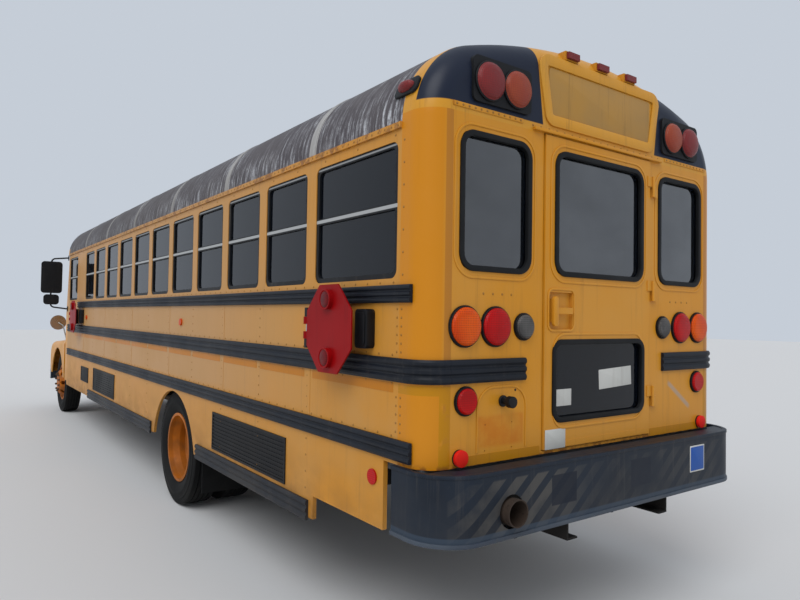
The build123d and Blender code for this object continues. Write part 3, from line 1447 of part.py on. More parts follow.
# Entry door: two leaves that swing out from their jambs
leaf_spans = {
    "rear": (ENTRY_REAR + DOOR_GAP, ENTRY_REAR + DOOR_GAP + LEAF_WIDTH),
    "front": (ENTRY_FRONT - DOOR_GAP - LEAF_WIDTH, ENTRY_FRONT - DOOR_GAP),
}
LEAF_LIGHTS = ((640.0, 1330.0), (1400.0, 2390.0))
for name, span in leaf_spans.items():
    jamb = ENTRY_REAR if name == "rear" else ENTRY_FRONT
    pin_x = st(jamb + ENTRY_PIN_BEYOND * (-1 if name == "rear" else 1))
    inward = 1 if name == "rear" else -1
    lights = [span_face([(span[0] + LEAF_EDGE, span[1] - LEAF_EDGE)], low, high, 30)
              for low, high in LEAF_LIGHTS]
    with BuildPart() as leaf:
        add(box(st(span[0]), st(span[1]), LEAF_IN, LEAF_IN - LEAF_THICK, ENTRY_LOW,
                ENTRY_HIGH - DOOR_GAP))
        for light in lights:
            with BuildSketch(Plane.XZ.offset(BODY_HALF + 20)):
                add(light)
            extrude(amount=-60, mode=Mode.SUBTRACT)
        for height in ENTRY_HINGES:
            z0 = height + HINGE_SPAN + HINGE_GAP
            with BuildSketch(Plane.XY.offset(z0)):
                with Locations((pin_x, ENTRY_PIN_Y)):
                    Circle(ENTRY_PIN_R)
            extrude(amount=HINGE_SPAN)
            add(box(pin_x, pin_x + inward * 36, ENTRY_PIN_Y + 4, LEAF_IN - LEAF_THICK, z0,
                    z0 + HINGE_SPAN))
    leaf.part.label = "entry_leaf_" + name
    export_step(leaf.part, "parts/entry_leaf_" + name + ".step")
    with BuildPart() as leaf_glass:
        for light in lights:
            with BuildSketch(Plane.XZ.offset(-(LEAF_IN - 11))):
                add(light)
            extrude(amount=GLASS_THICK)
    leaf_glass.part.label = "entry_glass_" + name
    export_step(leaf_glass.part, "parts/entry_glass_" + name + ".step")

# Lamps: kind, distance from the middle, height, lens radius, width of the black ring
BEZEL = 9.0
REAR_LAMPS = [
    ("amber", 993.0, 1644.0, BIG_LENS_R, BEZEL),
    ("red", 797.0, 1644.0, BIG_LENS_R, BEZEL),
    ("clear", 604.0, 1644.0, SMALL_LENS_R, BEZEL),
    ("red", 983.0, 1300.0, SMALL_LENS_R, BEZEL),
    ("red", 1019.0, 1044.0, 38.0, 1.0),
]
WARNING_LAMPS = [("red", 863.0, 2808.0, BIG_LENS_R), ("amber", 679.0, 2808.0, BIG_LENS_R)]
ROOF_LAMP_Y = (-255.0, 0.0, 255.0)
ROOF_LAMP_Z = 3080.0
SIDE_MARKERS = (3417.0, 7600.0)
SIDE_MARKER_Z = 1610.0
BASE_PROUD = 8.0
HOOD_LAMP_OUT = 14.0


def disc_x(y, z, radius, x0, x1) -> Part:
    """Round plate facing along X between two places."""
    with BuildPart() as plate:
        with BuildSketch(Plane.YZ.offset(x0)):
            with Locations((y, z)):
                Circle(radius)
        extrude(amount=x1 - x0)
    return plate.part


def lens_x(y, z, radius, x0, out) -> Part:
    """Lens standing on its base at x0, facing out along X, with a turned edge."""
    with BuildPart() as lens:
        add(disc_x(y, z, radius, x0, x0 + out * (LENS_PROUD - BASE_PROUD)))
        rim_edges = lens.faces().sort_by(Axis.X)[-1 if out > 0 else 0].edges()
        chamfer(rim_edges, 7)
    return lens.part


lens_parts = {"red": [], "amber": [], "clear": []}
with BuildPart() as lamp_housings:
    for side in (-1, 1):
        for colour, y, z, radius, ring in REAR_LAMPS:
            base = st(-BASE_PROUD)
            add(disc_x(side * y, z, radius + ring, base, st(0)))
            lens_parts[colour].append(lens_x(side * y, z, radius, base, -1))
        for face, out, block in ((0, -1, rear_block), (BROW_FACE, 1, front_block)):
            x_out = st(face) + out * HOOD_LAMP_OUT
            panel = rear_face([(side * 575, side * 967)], 2700, 2920, 30)
            add(across(panel, x_out, st(face) - out * 120) - block)
            for colour, y, z, radius in WARNING_LAMPS:
                lens_parts[colour].append(lens_x(side * y, z, radius, x_out, out))
    for y in ROOF_LAMP_Y:
        for face, out, block, colour in (
            (0, -1, rear_block, "red"), (BROW_FACE, 1, front_block, "amber"),
        ):
            base = box(st(face) + out * 4, st(face) - out * 60, y - 52, y + 52, ROOF_LAMP_Z - 24,
                       ROOF_LAMP_Z + 24)
            add(base - block)
            x_lens = st(face) + out * 4
            lens_parts[colour].append(
                box(x_lens, x_lens + out * 18, y - 44, y + 44, ROOF_LAMP_Z - 17, ROOF_LAMP_Z + 17)
            )
lamp_housings.part.label = "lamp_housings"
export_step(lamp_housings.part, "parts/lamp_housings.step")

for side in (-1, 1):
    for station in SIDE_MARKERS:
        with BuildPart() as marker:
            with BuildSketch(side_plane(side)):
                with Locations((st(station), SIDE_MARKER_Z)):
                    Circle(30)
            extrude(amount=-14 if side > 0 else 14)
        lens_parts["amber"].append(marker.part)
    with BuildPart() as reflector:
        with BuildSketch(side_plane(side)):
            with Locations((st(401), 905)):
                Circle(38)
        extrude(amount=-8 if side > 0 else 8)
    lens_parts["red"].append(reflector.part)

for colour, lenses in lens_parts.items():
    with BuildPart() as lens_set:
        add(lenses)
    lens_set.part.label = "lenses_" + colour
    export_step(lens_set.part, "parts/lenses_" + colour + ".step")

# Louvred dark panels in the left skirt: rear station, front station, bottom, top
VENTS = [
    (1346.0, 2594.0, 662.0, 940.0),
    (5850.0, 7050.0, 665.0, 950.0),
    (7390.0, 7900.0, 716.0, 918.0),
]
VENT_BORDER = 16.0
VENT_PITCH = 26.0
with BuildPart() as skirt_vents:
    for rear, front, low, high in VENTS:
        add(box(st(rear), st(front), BODY_HALF, BODY_HALF + 2, low, high))
        add(
            box(st(rear), st(front), BODY_HALF + 2, BODY_HALF + 8, low, high)
            - box(st(rear + VENT_BORDER), st(front - VENT_BORDER), BODY_HALF, BODY_HALF + 9,
                  low + VENT_BORDER, high - VENT_BORDER)
        )
        count = int((high - low - 2 * VENT_BORDER) / VENT_PITCH)
        for index in range(count):
            z = low + VENT_BORDER + VENT_PITCH * (index + 0.5)
            add(box(st(rear + VENT_BORDER), st(front - VENT_BORDER), BODY_HALF + 2, BODY_HALF + 7,
                    z - 5, z + 5))
skirt_vents.part.label = "skirt_vents"
export_step(skirt_vents.part, "parts/skirt_vents.step")

# Stop arms on the driver's side, folded back along the body
SIGN_HINGE_R = 12.0
SIGN_LEAD = 22.0  # hinge pin to the near flat of the sign
POD_R = 52.0
with BuildPart() as stop_arm_bases:
    for pin in STOP_STATIONS:
        add(box(st(pin - 60), st(pin + 60), BODY_HALF, BODY_HALF + 40, SIGN_Z - 110, SIGN_Z + 110))
        for z0, z1 in ((SIGN_Z - 110, SIGN_Z - 60), (SIGN_Z + 60, SIGN_Z + 110)):
            add(box(st(pin - 14), st(pin + 14), BODY_HALF + 40, BODY_HALF + SIGN_OUT, z0, z1))
stop_arm_bases.part.label = "stop_arm_bases"
export_step(stop_arm_bases.part, "parts/stop_arm_bases.step")

for name, pin in zip(("rear", "front"), STOP_STATIONS):
    centre = pin - SIGN_LEAD - SIGN_FLATS / 2
    plate_y = BODY_HALF + SIGN_OUT
    with BuildPart() as sign:
        with BuildSketch(Plane.XZ.offset(-(plate_y + SIGN_THICK / 2))):
            with Locations((st(centre), SIGN_Z)):
                RegularPolygon(SIGN_FLATS / 2, 8, major_radius=False, rotation=22.5)
        extrude(amount=SIGN_THICK)
        for z in (SIGN_Z + 150, SIGN_Z - 150):
            with BuildSketch(Plane.XZ.offset(-(plate_y + 26))):
                with Locations((st(centre), z)):
                    Circle(POD_R)
            extrude(amount=52)
        for z0 in (SIGN_Z - 59.7, SIGN_Z + 19.7):
            with BuildSketch(Plane.XY.offset(z0)):
                with Locations((st(pin), plate_y)):
                    Circle(SIGN_HINGE_R)
            extrude(amount=40)
            add(box(st(centre), st(pin), plate_y - SIGN_THICK / 2, plate_y + SIGN_THICK / 2, z0,
                    z0 + 40))
    sign.part.label = "stop_sign_" + name
    export_step(sign.part, "parts/stop_sign_" + name + ".step")

# Outside mirrors on tube loops at the windscreen corners
with BuildPart() as mirrors:
    for side in (-1, 1):
        with BuildLine() as loop:
            FilletPolyline(
                (st(9180), side * (BODY_HALF + 10), 1730),
                (st(9290), side * 1450, 1760),
                (st(9290), side * 1450, 2520),
                (st(9180), side * (BODY_HALF + 10), 2540),
                radius=60,
            )
        with BuildSketch(Plane(origin=loop.line @ 0, z_dir=loop.line % 0)):
            Circle(12)
        sweep()
        with BuildSketch(Plane.YZ.offset(st(9230))):
            with Locations((side * 1450, 2225)):
                RectangleRounded(300, 500, 50)
        extrude(amount=58, taper=8)
        with BuildSketch(Plane.YZ.offset(st(9230))):
            with Locations((side * 1450, 1875)):
                RectangleRounded(220, 160, 50)
        extrude(amount=58, taper=8)
        add(
            box(st(9150), st(9210), side * BODY_HALF, side * (BODY_HALF + 8), 1690, 1770)
        )
        add(
            box(st(9150), st(9210), side * BODY_HALF, side * (BODY_HALF + 8), 2500, 2580)
        )
mirrors.part.label = "mirrors"
export_step(mirrors.part, "parts/mirrors.step")

# Grille, headlamps and cross-view mirrors on the hood
with BuildPart() as front_grille:
    with BuildSketch(Plane.YZ.offset(st(NOSE - HOOD_SKIN))):
        with Locations((0, (GRILLE_LOW + GRILLE_HIGH) / 2)):
            RectangleRounded(2 * GRILLE_HALF, GRILLE_HIGH - GRILLE_LOW, 40)
            RectangleRounded(
                2 * GRILLE_HALF - 50, GRILLE_HIGH - GRILLE_LOW - 50, 20, mode=Mode.SUBTRACT
            )
        for index in range(-2, 3):
            with Locations((0, (GRILLE_LOW + GRILLE_HIGH) / 2 + index * 40)):
                Rectangle(2 * GRILLE_HALF - 40, 14)
        for y in (-200, 0, 200):
            with Locations((y, (GRILLE_LOW + GRILLE_HIGH) / 2)):
                Rectangle(14, GRILLE_HIGH - GRILLE_LOW - 40)
    extrude(amount=HOOD_SKIN + 6)
front_grille.part.label = "front_grille"
export_step(front_grille.part, "parts/front_grille.step")

with BuildPart() as headlamps:
    for side in (-1, 1):
        add(disc_x(side * LAMP_Y, LAMP_Z, HEADLAMP_R, st(10780), st(NOSE - FENDER_BACK - 4)))
        add(disc_x(side * LAMP_Y, LAMP_Z, HEADLAMP_R + 8 - 0.3, st(10850), st(NOSE - FENDER_BACK)))
headlamps.part.label = "headlamps"
export_step(headlamps.part, "parts/headlamps.step")

DOME_R = 130.0
DOME_DEEP = 76.0
DOME_Y = 1120.0
DOME_Z = 1490.0
DOME_X = 10760.0
CAP_R = (DOME_R**2 + DOME_DEEP**2) / (2 * DOME_DEEP)
CAP_TURN = atan2(DOME_R, CAP_R - DOME_DEEP) / 2
STALK_R = 11.0
STALK_FOOT = (st(10560), 1000, 1150)
STALK_KNEE = (st(10640), 1060, 1440)
with BuildPart() as dome:
    with BuildSketch(Plane.XY):
        with BuildLine():
            middle = (DOME_DEEP - CAP_R * (1 - cos(CAP_TURN)), CAP_R * sin(CAP_TURN))
            ThreePointArc((0, DOME_R), middle, (DOME_DEEP, 0))
            Line((DOME_DEEP, 0), (0, 0))
            Line((0, 0), (0, DOME_R))
        make_face()
    revolve(axis=Axis.X)
with BuildPart() as crossview_mirrors:
    add(Pos(st(DOME_X), DOME_Y, DOME_Z) * dome.part)
    add(rod(STALK_FOOT, STALK_KNEE, STALK_R))
    add(rod(STALK_KNEE, (st(DOME_X + 10), DOME_Y, DOME_Z), STALK_R))
    with Locations(STALK_KNEE):
        Sphere(STALK_R + 0.5)
    foot_x, foot_y, foot_z = STALK_FOOT
    add(box(foot_x - 30, foot_x + 30, foot_y - 30, foot_y + 30, foot_z, foot_z + 30))
    add(fenders_outer, mode=Mode.SUBTRACT)
    mirror(about=Plane.XZ)
crossview_mirrors.part.label = "crossview_mirrors"
export_step(crossview_mirrors.part, "parts/crossview_mirrors.step")

# Mud flaps behind the rear wheels
with BuildPart() as mud_flaps:
    for side in (-1, 1):
        add(box(st(FLAP_X), st(FLAP_X + 10), side * 610, side * 1180, 240, FRAME_TOP - 6))
mud_flaps.part.label = "mud_flaps"
export_step(mud_flaps.part, "parts/mud_flaps.step")

# Passenger benches, one row to a window
SEAT_ROWS = 11
SEAT_PITCH = WINDOW_PITCH + 60.0
SEAT_FIRST = 640.0
SEAT_INNER = 190.0
SEAT_OUTER = CABIN_HALF - 12.0
CUSHION_TOP = 1430.0
CUSHION_LOW = 1310.0
BACK_TOP = 2010.0
SEAT_ROOM = 560.0  # a bench with its knee room
SEAT_LIMIT = ENTRY_REAR - 60.0
seat_rows = [
    (side, SEAT_FIRST + row * SEAT_PITCH)
    for side in (1, -1)
    for row in range(SEAT_ROWS)
    if SEAT_FIRST + row * SEAT_PITCH + SEAT_ROOM < SEAT_LIMIT
]
with BuildPart() as seats:
    for side, rear in seat_rows:
        with BuildSketch(Plane.XZ.offset(-side * SEAT_INNER)):
            with BuildLine():
                Polyline(
                    (st(rear), BACK_TOP),
                    (st(rear + 60), CUSHION_LOW),
                    (st(rear + 480), CUSHION_LOW),
                    (st(rear + 480), CUSHION_TOP),
                    (st(rear + 160), CUSHION_TOP - 20),
                    (st(rear + 85), BACK_TOP),
                    close=True,
                )
            make_face()
        extrude(amount=-side * (SEAT_OUTER - SEAT_INNER))
seats.part.label = "seats"
export_step(seats.part, "parts/seats.step")

LEG = 30.0
with BuildPart() as seat_frames:
    for side, rear in seat_rows:
        for x in (rear + 110, rear + 420):
            add(box(st(x), st(x + LEG), side * (SEAT_INNER + 90), side * (SEAT_INNER + 120),
                    FLOOR_TOP, CUSHION_LOW - 24))
        add(box(st(rear + 80), st(rear + 470), side * (SEAT_INNER + 60), side * CABIN_HALF,
                CUSHION_LOW - 24, CUSHION_LOW))
seat_frames.part.label = "seat_frames"
export_step(seat_frames.part, "parts/seat_frames.step")

# Driver's place
DRIVER_Y = 640.0
with BuildPart() as driver_seat:
    add(box(st(8500), st(8560), DRIVER_Y - 240, DRIVER_Y + 240, 1440, 2080))
    add(box(st(8500), st(8980), DRIVER_Y - 250, DRIVER_Y + 250, 1340, 1440))
    add(box(st(8600), st(8860), DRIVER_Y - 150, DRIVER_Y + 150, FLOOR_TOP, 1340))
driver_seat.part.label = "driver_seat"
export_step(driver_seat.part, "parts/driver_seat.step")

WHEEL_TILT = 35.0
WHEEL_R = 230.0
WHEEL_RIM_R = 14.0
COLUMN_R = 28.0
wheel_plane = Plane(
    origin=(st(9010), DRIVER_Y, 1700),
    z_dir=(-sin(radians(WHEEL_TILT)), 0, cos(radians(WHEEL_TILT))),
)
DASH_HALF = 1100.0
with BuildPart() as dash:
    with BuildSketch(Plane.XZ):
        with BuildLine():
            Polyline(
                (st(9330), 1640),
                (st(9150), 1620),
                (st(9120), 1500),
                (st(9170), 1300),
                (st(9334.7), 1250),
                (st(9334.7), 1640),
                close=True,
            )
        make_face()
    extrude(amount=DASH_HALF, both=True)
    with BuildSketch(wheel_plane):
        Circle(WHEEL_R + WHEEL_RIM_R)
        Circle(WHEEL_R - WHEEL_RIM_R, mode=Mode.SUBTRACT)
        Rectangle(2 * WHEEL_R, 36)
        Circle(55)
    extrude(amount=WHEEL_RIM_R, both=True)
    with BuildSketch(wheel_plane):
        Circle(COLUMN_R)
    extrude(amount=-230)
dash.part.label = "dash"
export_step(dash.part, "parts/dash.step")
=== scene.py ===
# %% [markdown]
# # Dressing a school bus
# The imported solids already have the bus's true sizes. This file gives them paint, rubber,
# glass and wear, and adds what is too small for the solids: rivets, gaskets, tape, nuts and
# tread. Everything is in metres, +X forward, +Y to the bus's left, +Z up. Each step says what
# the real thing is, how it could be made, and why it is made this way.

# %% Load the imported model
import math
from contextlib import contextmanager

import bpy
from mathutils import Matrix, Vector


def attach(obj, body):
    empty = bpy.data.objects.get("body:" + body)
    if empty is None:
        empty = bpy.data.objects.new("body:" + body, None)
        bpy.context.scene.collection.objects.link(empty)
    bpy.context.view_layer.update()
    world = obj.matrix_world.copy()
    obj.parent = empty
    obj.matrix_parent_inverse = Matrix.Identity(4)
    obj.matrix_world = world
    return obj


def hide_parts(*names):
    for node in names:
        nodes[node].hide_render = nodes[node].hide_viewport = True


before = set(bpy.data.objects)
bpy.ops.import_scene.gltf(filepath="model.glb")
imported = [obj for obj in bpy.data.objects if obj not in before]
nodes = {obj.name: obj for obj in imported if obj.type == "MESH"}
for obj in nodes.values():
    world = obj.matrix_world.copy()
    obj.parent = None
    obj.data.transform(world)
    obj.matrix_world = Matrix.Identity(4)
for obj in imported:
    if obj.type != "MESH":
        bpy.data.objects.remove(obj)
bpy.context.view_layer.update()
REAR = -5.425
BODY_HALF = 1.219


def st(millimetres):
    """X of a station counted forward from the rear wall."""
    return REAR + millimetres / 1000


# %% [markdown]
# ## Camera
# The camera stands where the photograph was taken, behind the left rear corner at head height.
# It could be placed by eye, but then no window would line up. Its place, turn and lens come
# from a pinhole fit to window posts, rails and lamps.

# %% Camera at the photograph's place
CAMERA_PLACE = (-7.650, 2.981, 1.683)
CAMERA_TURN = {"yaw": -36.044, "pitch": 1.509, "roll": 0.888}
CAMERA_LENS = 29.0
CAMERA_SENSOR = 36.0
yaw, pitch, roll = (math.radians(CAMERA_TURN[key]) for key in ("yaw", "pitch", "roll"))
forward = Vector((math.cos(pitch) * math.cos(yaw), math.cos(pitch) * math.sin(yaw), math.sin(pitch)))
level = Vector((math.sin(yaw), -math.cos(yaw), 0))
upright = level.cross(forward)
right = level * math.cos(roll) + upright * math.sin(roll)
up = upright * math.cos(roll) - level * math.sin(roll)
turn = Matrix((right, up, -forward)).transposed()
bpy.ops.object.camera_add(location=CAMERA_PLACE, rotation=turn.to_euler())
camera = bpy.context.object
camera.data.lens = CAMERA_LENS
camera.data.sensor_width = CAMERA_SENSOR
bpy.context.scene.camera = camera
print("camera", tuple(round(value, 3) for value in camera.location))

# %% [markdown]
# ## Floor and light
# A pale floor and an even sky keep the colours as they are written. A picture of a real sky
# could light the bus, but it would be a file from outside, so plain colour does it. One broad
# soft lamp from behind and above the left corner gives the panels a little shape. The sky shows
# a pale grey to the camera and in reflections, and lights the bus with a second value.

# %% Floor, sky and lamp
def put(node, **values):
    """Sets named inputs of a shader node. An underscore stands for a space."""
    for name, value in values.items():
        node.inputs[name.replace("_", " ")].default_value = value


def new_finish(name):
    """New material, its node tree and its shader."""
    finish = bpy.data.materials.new(name)
    finish.use_nodes = True
    return finish, finish.node_tree, finish.node_tree.nodes["Principled BSDF"]


bpy.context.scene.view_settings.view_transform = "Standard"
bpy.ops.mesh.primitive_plane_add(size=120, location=(0, 0, -0.002))
floor_plane = bpy.context.object
floor_plane.name = "studio_floor"
floor_finish, _, floor_shader = new_finish("studio_floor")
put(floor_shader, Base_Color=(0.62, 0.62, 0.62, 1), Roughness=0.9)
floor_plane.data.materials.append(floor_finish)

sky = bpy.data.worlds.new("studio_sky")
bpy.context.scene.world = sky
sky.use_nodes = True
sky_tree = sky.node_tree
sky_light = sky_tree.nodes["Background"]
put(sky_light, Color=(0.9, 0.94, 1.0, 1), Strength=0.72)
sky_seen = sky_tree.nodes.new("ShaderNodeBackground")
put(sky_seen, Color=(0.56, 0.61, 0.68, 1), Strength=1.0)
rays = sky_tree.nodes.new("ShaderNodeLightPath")
either = sky_tree.nodes.new("ShaderNodeMath")
either.operation = "MAXIMUM"
sky_tree.links.new(rays.outputs["Is Camera Ray"], either.inputs[0])
sky_tree.links.new(rays.outputs["Is Glossy Ray"], either.inputs[1])
sky_mix = sky_tree.nodes.new("ShaderNodeMixShader")
for slot_index, output in enumerate((either.outputs[0], sky_light.outputs[0], sky_seen.outputs[0])):
    sky_tree.links.new(output, sky_mix.inputs[slot_index])
sky_tree.links.new(sky_mix.outputs[0], sky_tree.nodes["World Output"].inputs["Surface"])

bpy.ops.object.light_add(type="SUN", rotation=(math.radians(-33), math.radians(-25), 0))
lamp = bpy.context.object
lamp.name = "soft_lamp"
lamp.data.energy = 1.35
lamp.data.angle = math.radians(40)
print("lamp", lamp.name, round(lamp.data.energy, 2))

# %% [markdown]
# ## Colours
# Paint charts give colours from 0 to 255. Blender mixes light in linear values, so each chart
# value goes through this small conversion first. Linear values could be written by hand, but
# they are hard to compare with a chart.

# %% Chart colour to linear colour
def chart(red, green, blue):
    """Linear colour of a chart value from 0 to 255."""
    def linear(value):
        share = value / 255
        return share / 12.92 if share <= 0.04045 else ((share + 0.055) / 1.055) ** 2.4
    return (linear(red), linear(green), linear(blue), 1.0)


print("school bus yellow", [round(v, 3) for v in chart(205, 150, 70)])

# %% [markdown]
# ## Patterns by place
# Wear has its places: sun on the side, rust at the foot, soot at the pipe. It could be painted
# on by hand, but the solids have no map for that. So one colour is laid over another by height,
# by side or by station. A field is a value that varies over the surface. Sums with fields are
# written like sums with numbers, and each one adds a shader node. Fields read object
# coordinates, which stay put in every view.

# %% Fields and surfaces
def link(tree, source, target):
    """Joins a field or an output to an input, or sets the input to a plain value."""
    source = getattr(source, "socket", source)
    if hasattr(source, "is_output"):
        tree.links.new(source, target)
    else:
        target.default_value = source


class Field:
    """A value that varies over a surface."""

    def __init__(self, tree, socket):
        self.tree = tree
        self.socket = socket

    def combine(self, operation, first, second=0.0):
        """Result of one sum."""
        node = self.tree.nodes.new("ShaderNodeMath")
        node.operation = operation
        link(self.tree, first, node.inputs[0])
        link(self.tree, second, node.inputs[1])
        return Field(self.tree, node.outputs[0])

    def __add__(self, other):
        return self.combine("ADD", self, other)

    def __sub__(self, other):
        return self.combine("SUBTRACT", self, other)

    def __rsub__(self, other):
        return self.combine("SUBTRACT", other, self)

    def __mul__(self, other):
        return self.combine("MULTIPLY", self, other)

    def __abs__(self):
        return self.combine("ABSOLUTE", self)

    def most(self, other):
        """The greater of two values."""
        return self.combine("MAXIMUM", self, other)

    def sine(self):
        """Sine of the value."""
        return self.combine("SINE", self)

    def ramp(self, low, high):
        """0 below low, 1 above high, smooth between."""
        node = self.tree.nodes.new("ShaderNodeMapRange")
        node.interpolation_type = "SMOOTHSTEP"
        for source, name in ((self, "Value"), (low, "From Min"), (high, "From Max")):
            link(self.tree, source, node.inputs[name])
        return Field(self.tree, node.outputs["Result"])

    def band(self, low, high, soft):
        """1 between low and high, 0 outside, with soft edges."""
        return self.ramp(low - soft, low + soft) * self.ramp(high + soft, high - soft)


# %% [markdown]
# ## Noise and layers
# Real dirt is never even. Noise gives clouds, and noise that is stretched gives streaks or runs.
# Layers work like masking and spraying: each colour has its own share, and a later layer covers
# the ones before it. Keeping this in one place leaves each finish a short list of layers.

# %% A surface and its patterns
class Surface:
    """Object coordinates of one material, and the patterns made from them."""

    def __init__(self, tree):
        self.tree = tree
        self.place = tree.nodes.new("ShaderNodeTexCoord").outputs["Object"]
        parts = tree.nodes.new("ShaderNodeSeparateXYZ")
        tree.links.new(self.place, parts.inputs[0])
        self.x, self.y, self.z = (Field(tree, part) for part in parts.outputs)

    def noise(self, scale, detail, rough=0.55, stretch=(1, 1, 1)):
        """Cloudy pattern from 0 to 1."""
        stretched = self.tree.nodes.new("ShaderNodeMapping")
        put(stretched, Scale=stretch)
        self.tree.links.new(self.place, stretched.inputs["Vector"])
        node = self.tree.nodes.new("ShaderNodeTexNoise")
        self.tree.links.new(stretched.outputs["Vector"], node.inputs["Vector"])
        put(node, Scale=scale, Detail=detail, Roughness=rough)
        return Field(self.tree, node.outputs["Fac"])

    def layered(self, colour, layers):
        """A colour with others laid over it in turn, each by its own share."""
        for share, over in layers:
            node = self.tree.nodes.new("ShaderNodeMix")
            node.data_type = "RGBA"
            for source, target in ((share, 0), (colour, 6), (over, 7)):
                link(self.tree, source, node.inputs[target])
            colour = node.outputs[2]
        return colour


def dented(tree, shader, height, strength, depth):
    """Gives a shader bumps from a height."""
    dents = tree.nodes.new("ShaderNodeBump")
    put(dents, Strength=strength, Distance=depth)
    link(tree, height, dents.inputs["Height"])
    tree.links.new(dents.outputs["Normal"], shader.inputs["Normal"])


# %% [markdown]
# ## Weathered paint
# Old enamel fades in broad patches, gets rain streaks down its panels, dust near the road and
# small chips. Each material could hold its own copy of these nodes, but then a change would
# have to be made in all of them. So it is one node group with named inputs, and every painted
# piece shares the same look with its own colours.

# %% The weathered paint group
COLOUR, VALUE = "NodeSocketColor", "NodeSocketFloat"
weather = bpy.data.node_groups.new("weathered_paint", "ShaderNodeTree")
for socket, kind, value in (
    ("Paint", COLOUR, (0.5, 0.3, 0.1, 1)), ("Faded", COLOUR, (0.6, 0.4, 0.2, 1)),
    ("Dirt", COLOUR, (0.1, 0.08, 0.06, 1)), ("Chip", COLOUR, (0.1, 0.05, 0.02, 1)),
    ("Fading", VALUE, 0.6), ("Streaks", VALUE, 0.35), ("Chips", VALUE, 0.3),
    ("Road Dirt", VALUE, 0.6), ("Dirt Height", VALUE, 1.1), ("Gloss", VALUE, 0.35),
):
    made = weather.interface.new_socket(socket, in_out="INPUT", socket_type=kind)
    made.default_value = value
for socket, kind in (("Colour", COLOUR), ("Roughness", VALUE), ("Height", VALUE)):
    weather.interface.new_socket(socket, in_out="OUTPUT", socket_type=kind)
wanted = weather.nodes.new("NodeGroupInput").outputs
given = weather.nodes.new("NodeGroupOutput").inputs

at = Surface(weather)
faded = at.noise(1.6, 6).ramp(0.35, 0.68) * wanted["Fading"]
streaks = at.noise(3.0, 5, 0.7, (9, 9, 0.45)).ramp(0.52, 0.78) * wanted["Streaks"]
chip_limit = 0.80 - Field(weather, wanted["Chips"]) * 0.14
chips = at.noise(26.0, 8, 0.75).ramp(chip_limit, chip_limit + 0.03)
low_dust = at.noise(4.0, 6, stretch=(1, 1, 1.6)).ramp(0.25, 0.75)
dust = at.z.ramp(wanted["Dirt Height"], 0.35) * low_dust * wanted["Road Dirt"]
paint = at.layered(wanted["Paint"], [(faded, wanted["Faded"]), (streaks, wanted["Dirt"]),
                                     (dust, wanted["Dirt"]), (chips, wanted["Chip"])])
rough = Field(weather, wanted["Gloss"]) + faded * 0.22 + dust * 0.35 + chips * 0.3
rough = rough.combine("MINIMUM", rough, 0.95)
height = at.noise(5.0, 2) - chips * 0.25
for source, socket in ((paint, "Colour"), (rough, "Roughness"), (height, "Height")):
    link(weather, source, given[socket])
print("group", weather.name, "with", len(weather.nodes), "nodes")


# %% A painted finish from the group
def painted(name, *colours, bump=0.06, mark=None, shine=0.25, **values):
    """Material of weathered paint. mark gives layers over part of it, values set the wear."""
    finish, tree, shader = new_finish(name)
    put(shader, Specular_IOR_Level=shine)
    coat = tree.nodes.new("ShaderNodeGroup")
    coat.node_tree = weather
    for socket, colour in zip(("Paint", "Faded", "Dirt", "Chip"), colours):
        coat.inputs[socket].default_value = chart(*colour)
    put(coat, **values)
    colour = coat.outputs["Colour"]
    if mark:
        surface = Surface(tree)
        layers = [(share, chart(*over)) for share, over in mark(surface)]
        colour = surface.layered(colour, layers)
    tree.links.new(colour, shader.inputs["Base Color"])
    tree.links.new(coat.outputs["Roughness"], shader.inputs["Roughness"])
    dented(tree, shader, coat.outputs["Height"], bump, 0.02)
    return finish


def wear(names, finish):
    """Gives CAD nodes a finish."""
    for name in names.split():
        for place in nodes[name].material_slots:
            place.material = finish


# %% [markdown]
# ## Body paint
# The long sides face the sun and have gone dull and sandy. The rear wall is fresher, and its
# corner posts are a deep orange. Each zone could be a piece of its own, but on the bus it is
# one sheet, so a second colour is laid over by place, with soft edges, as a painter would mask
# it. The cabin's side of the sheets is grey.

# %% Where the body's second colours lie
GRIME = (92, 66, 42)
BARE = (84, 50, 30)
LINING = (146, 148, 144)
SCUFF_MIDDLE = (0.789, 1.2275)
SCUFF_LENGTH_WAY = (0.826, 0.563)


def rear_marks(at):
    """Deep orange corners, a browned seam, the stain round the plate and rust at the foot."""
    side = abs(at.y)
    stain = at.y.band(0.60, 0.905, 0.012) * at.z.band(1.075, 1.222, 0.012)
    stain = stain * at.noise(11.0, 6).ramp(0.2, 0.7)
    upright_tape = side.band(1.073, 1.131, 0.001) * at.z.band(1.003, 1.372, 0.001)
    corner_tape = side.ramp(1.130, 1.132) * at.z.band(1.330, 1.372, 0.001)
    over = at.y + SCUFF_MIDDLE[0]
    raised = at.z - SCUFF_MIDDLE[1]
    length = over * SCUFF_LENGTH_WAY[0] + raised * SCUFF_LENGTH_WAY[1]
    width = raised * SCUFF_LENGTH_WAY[0] - over * SCUFF_LENGTH_WAY[1]
    scuff = length.band(-0.14, 0.14, 0.02) * width.band(-0.013, 0.013, 0.008)
    foot = 1.0 - at.z.ramp(0.99, 1.03)
    inner_wall = at.x.ramp(st(28), st(30)) * side.ramp(1.130, 1.126)
    inner_corner = at.x.ramp(st(74), st(78)) * side.ramp(1.188, 1.186)
    return [
        (side.ramp(1.10, 1.13) * 0.8, (204, 128, 8)),
        (side.band(1.072, 1.112, 0.003) * 0.7, (168, 106, 34)),
        (stain * 0.85, (196, 112, 6)),
        (upright_tape.most(corner_tape) * at.noise(14.0, 6).ramp(0.25, 0.45), (186, 126, 4)),
        (scuff * 0.6, (152, 152, 150)),
        (foot * at.noise(18.0, 6).ramp(0.45, 0.6), (120, 66, 30)),
        (inner_wall.most(inner_corner), LINING),
    ]


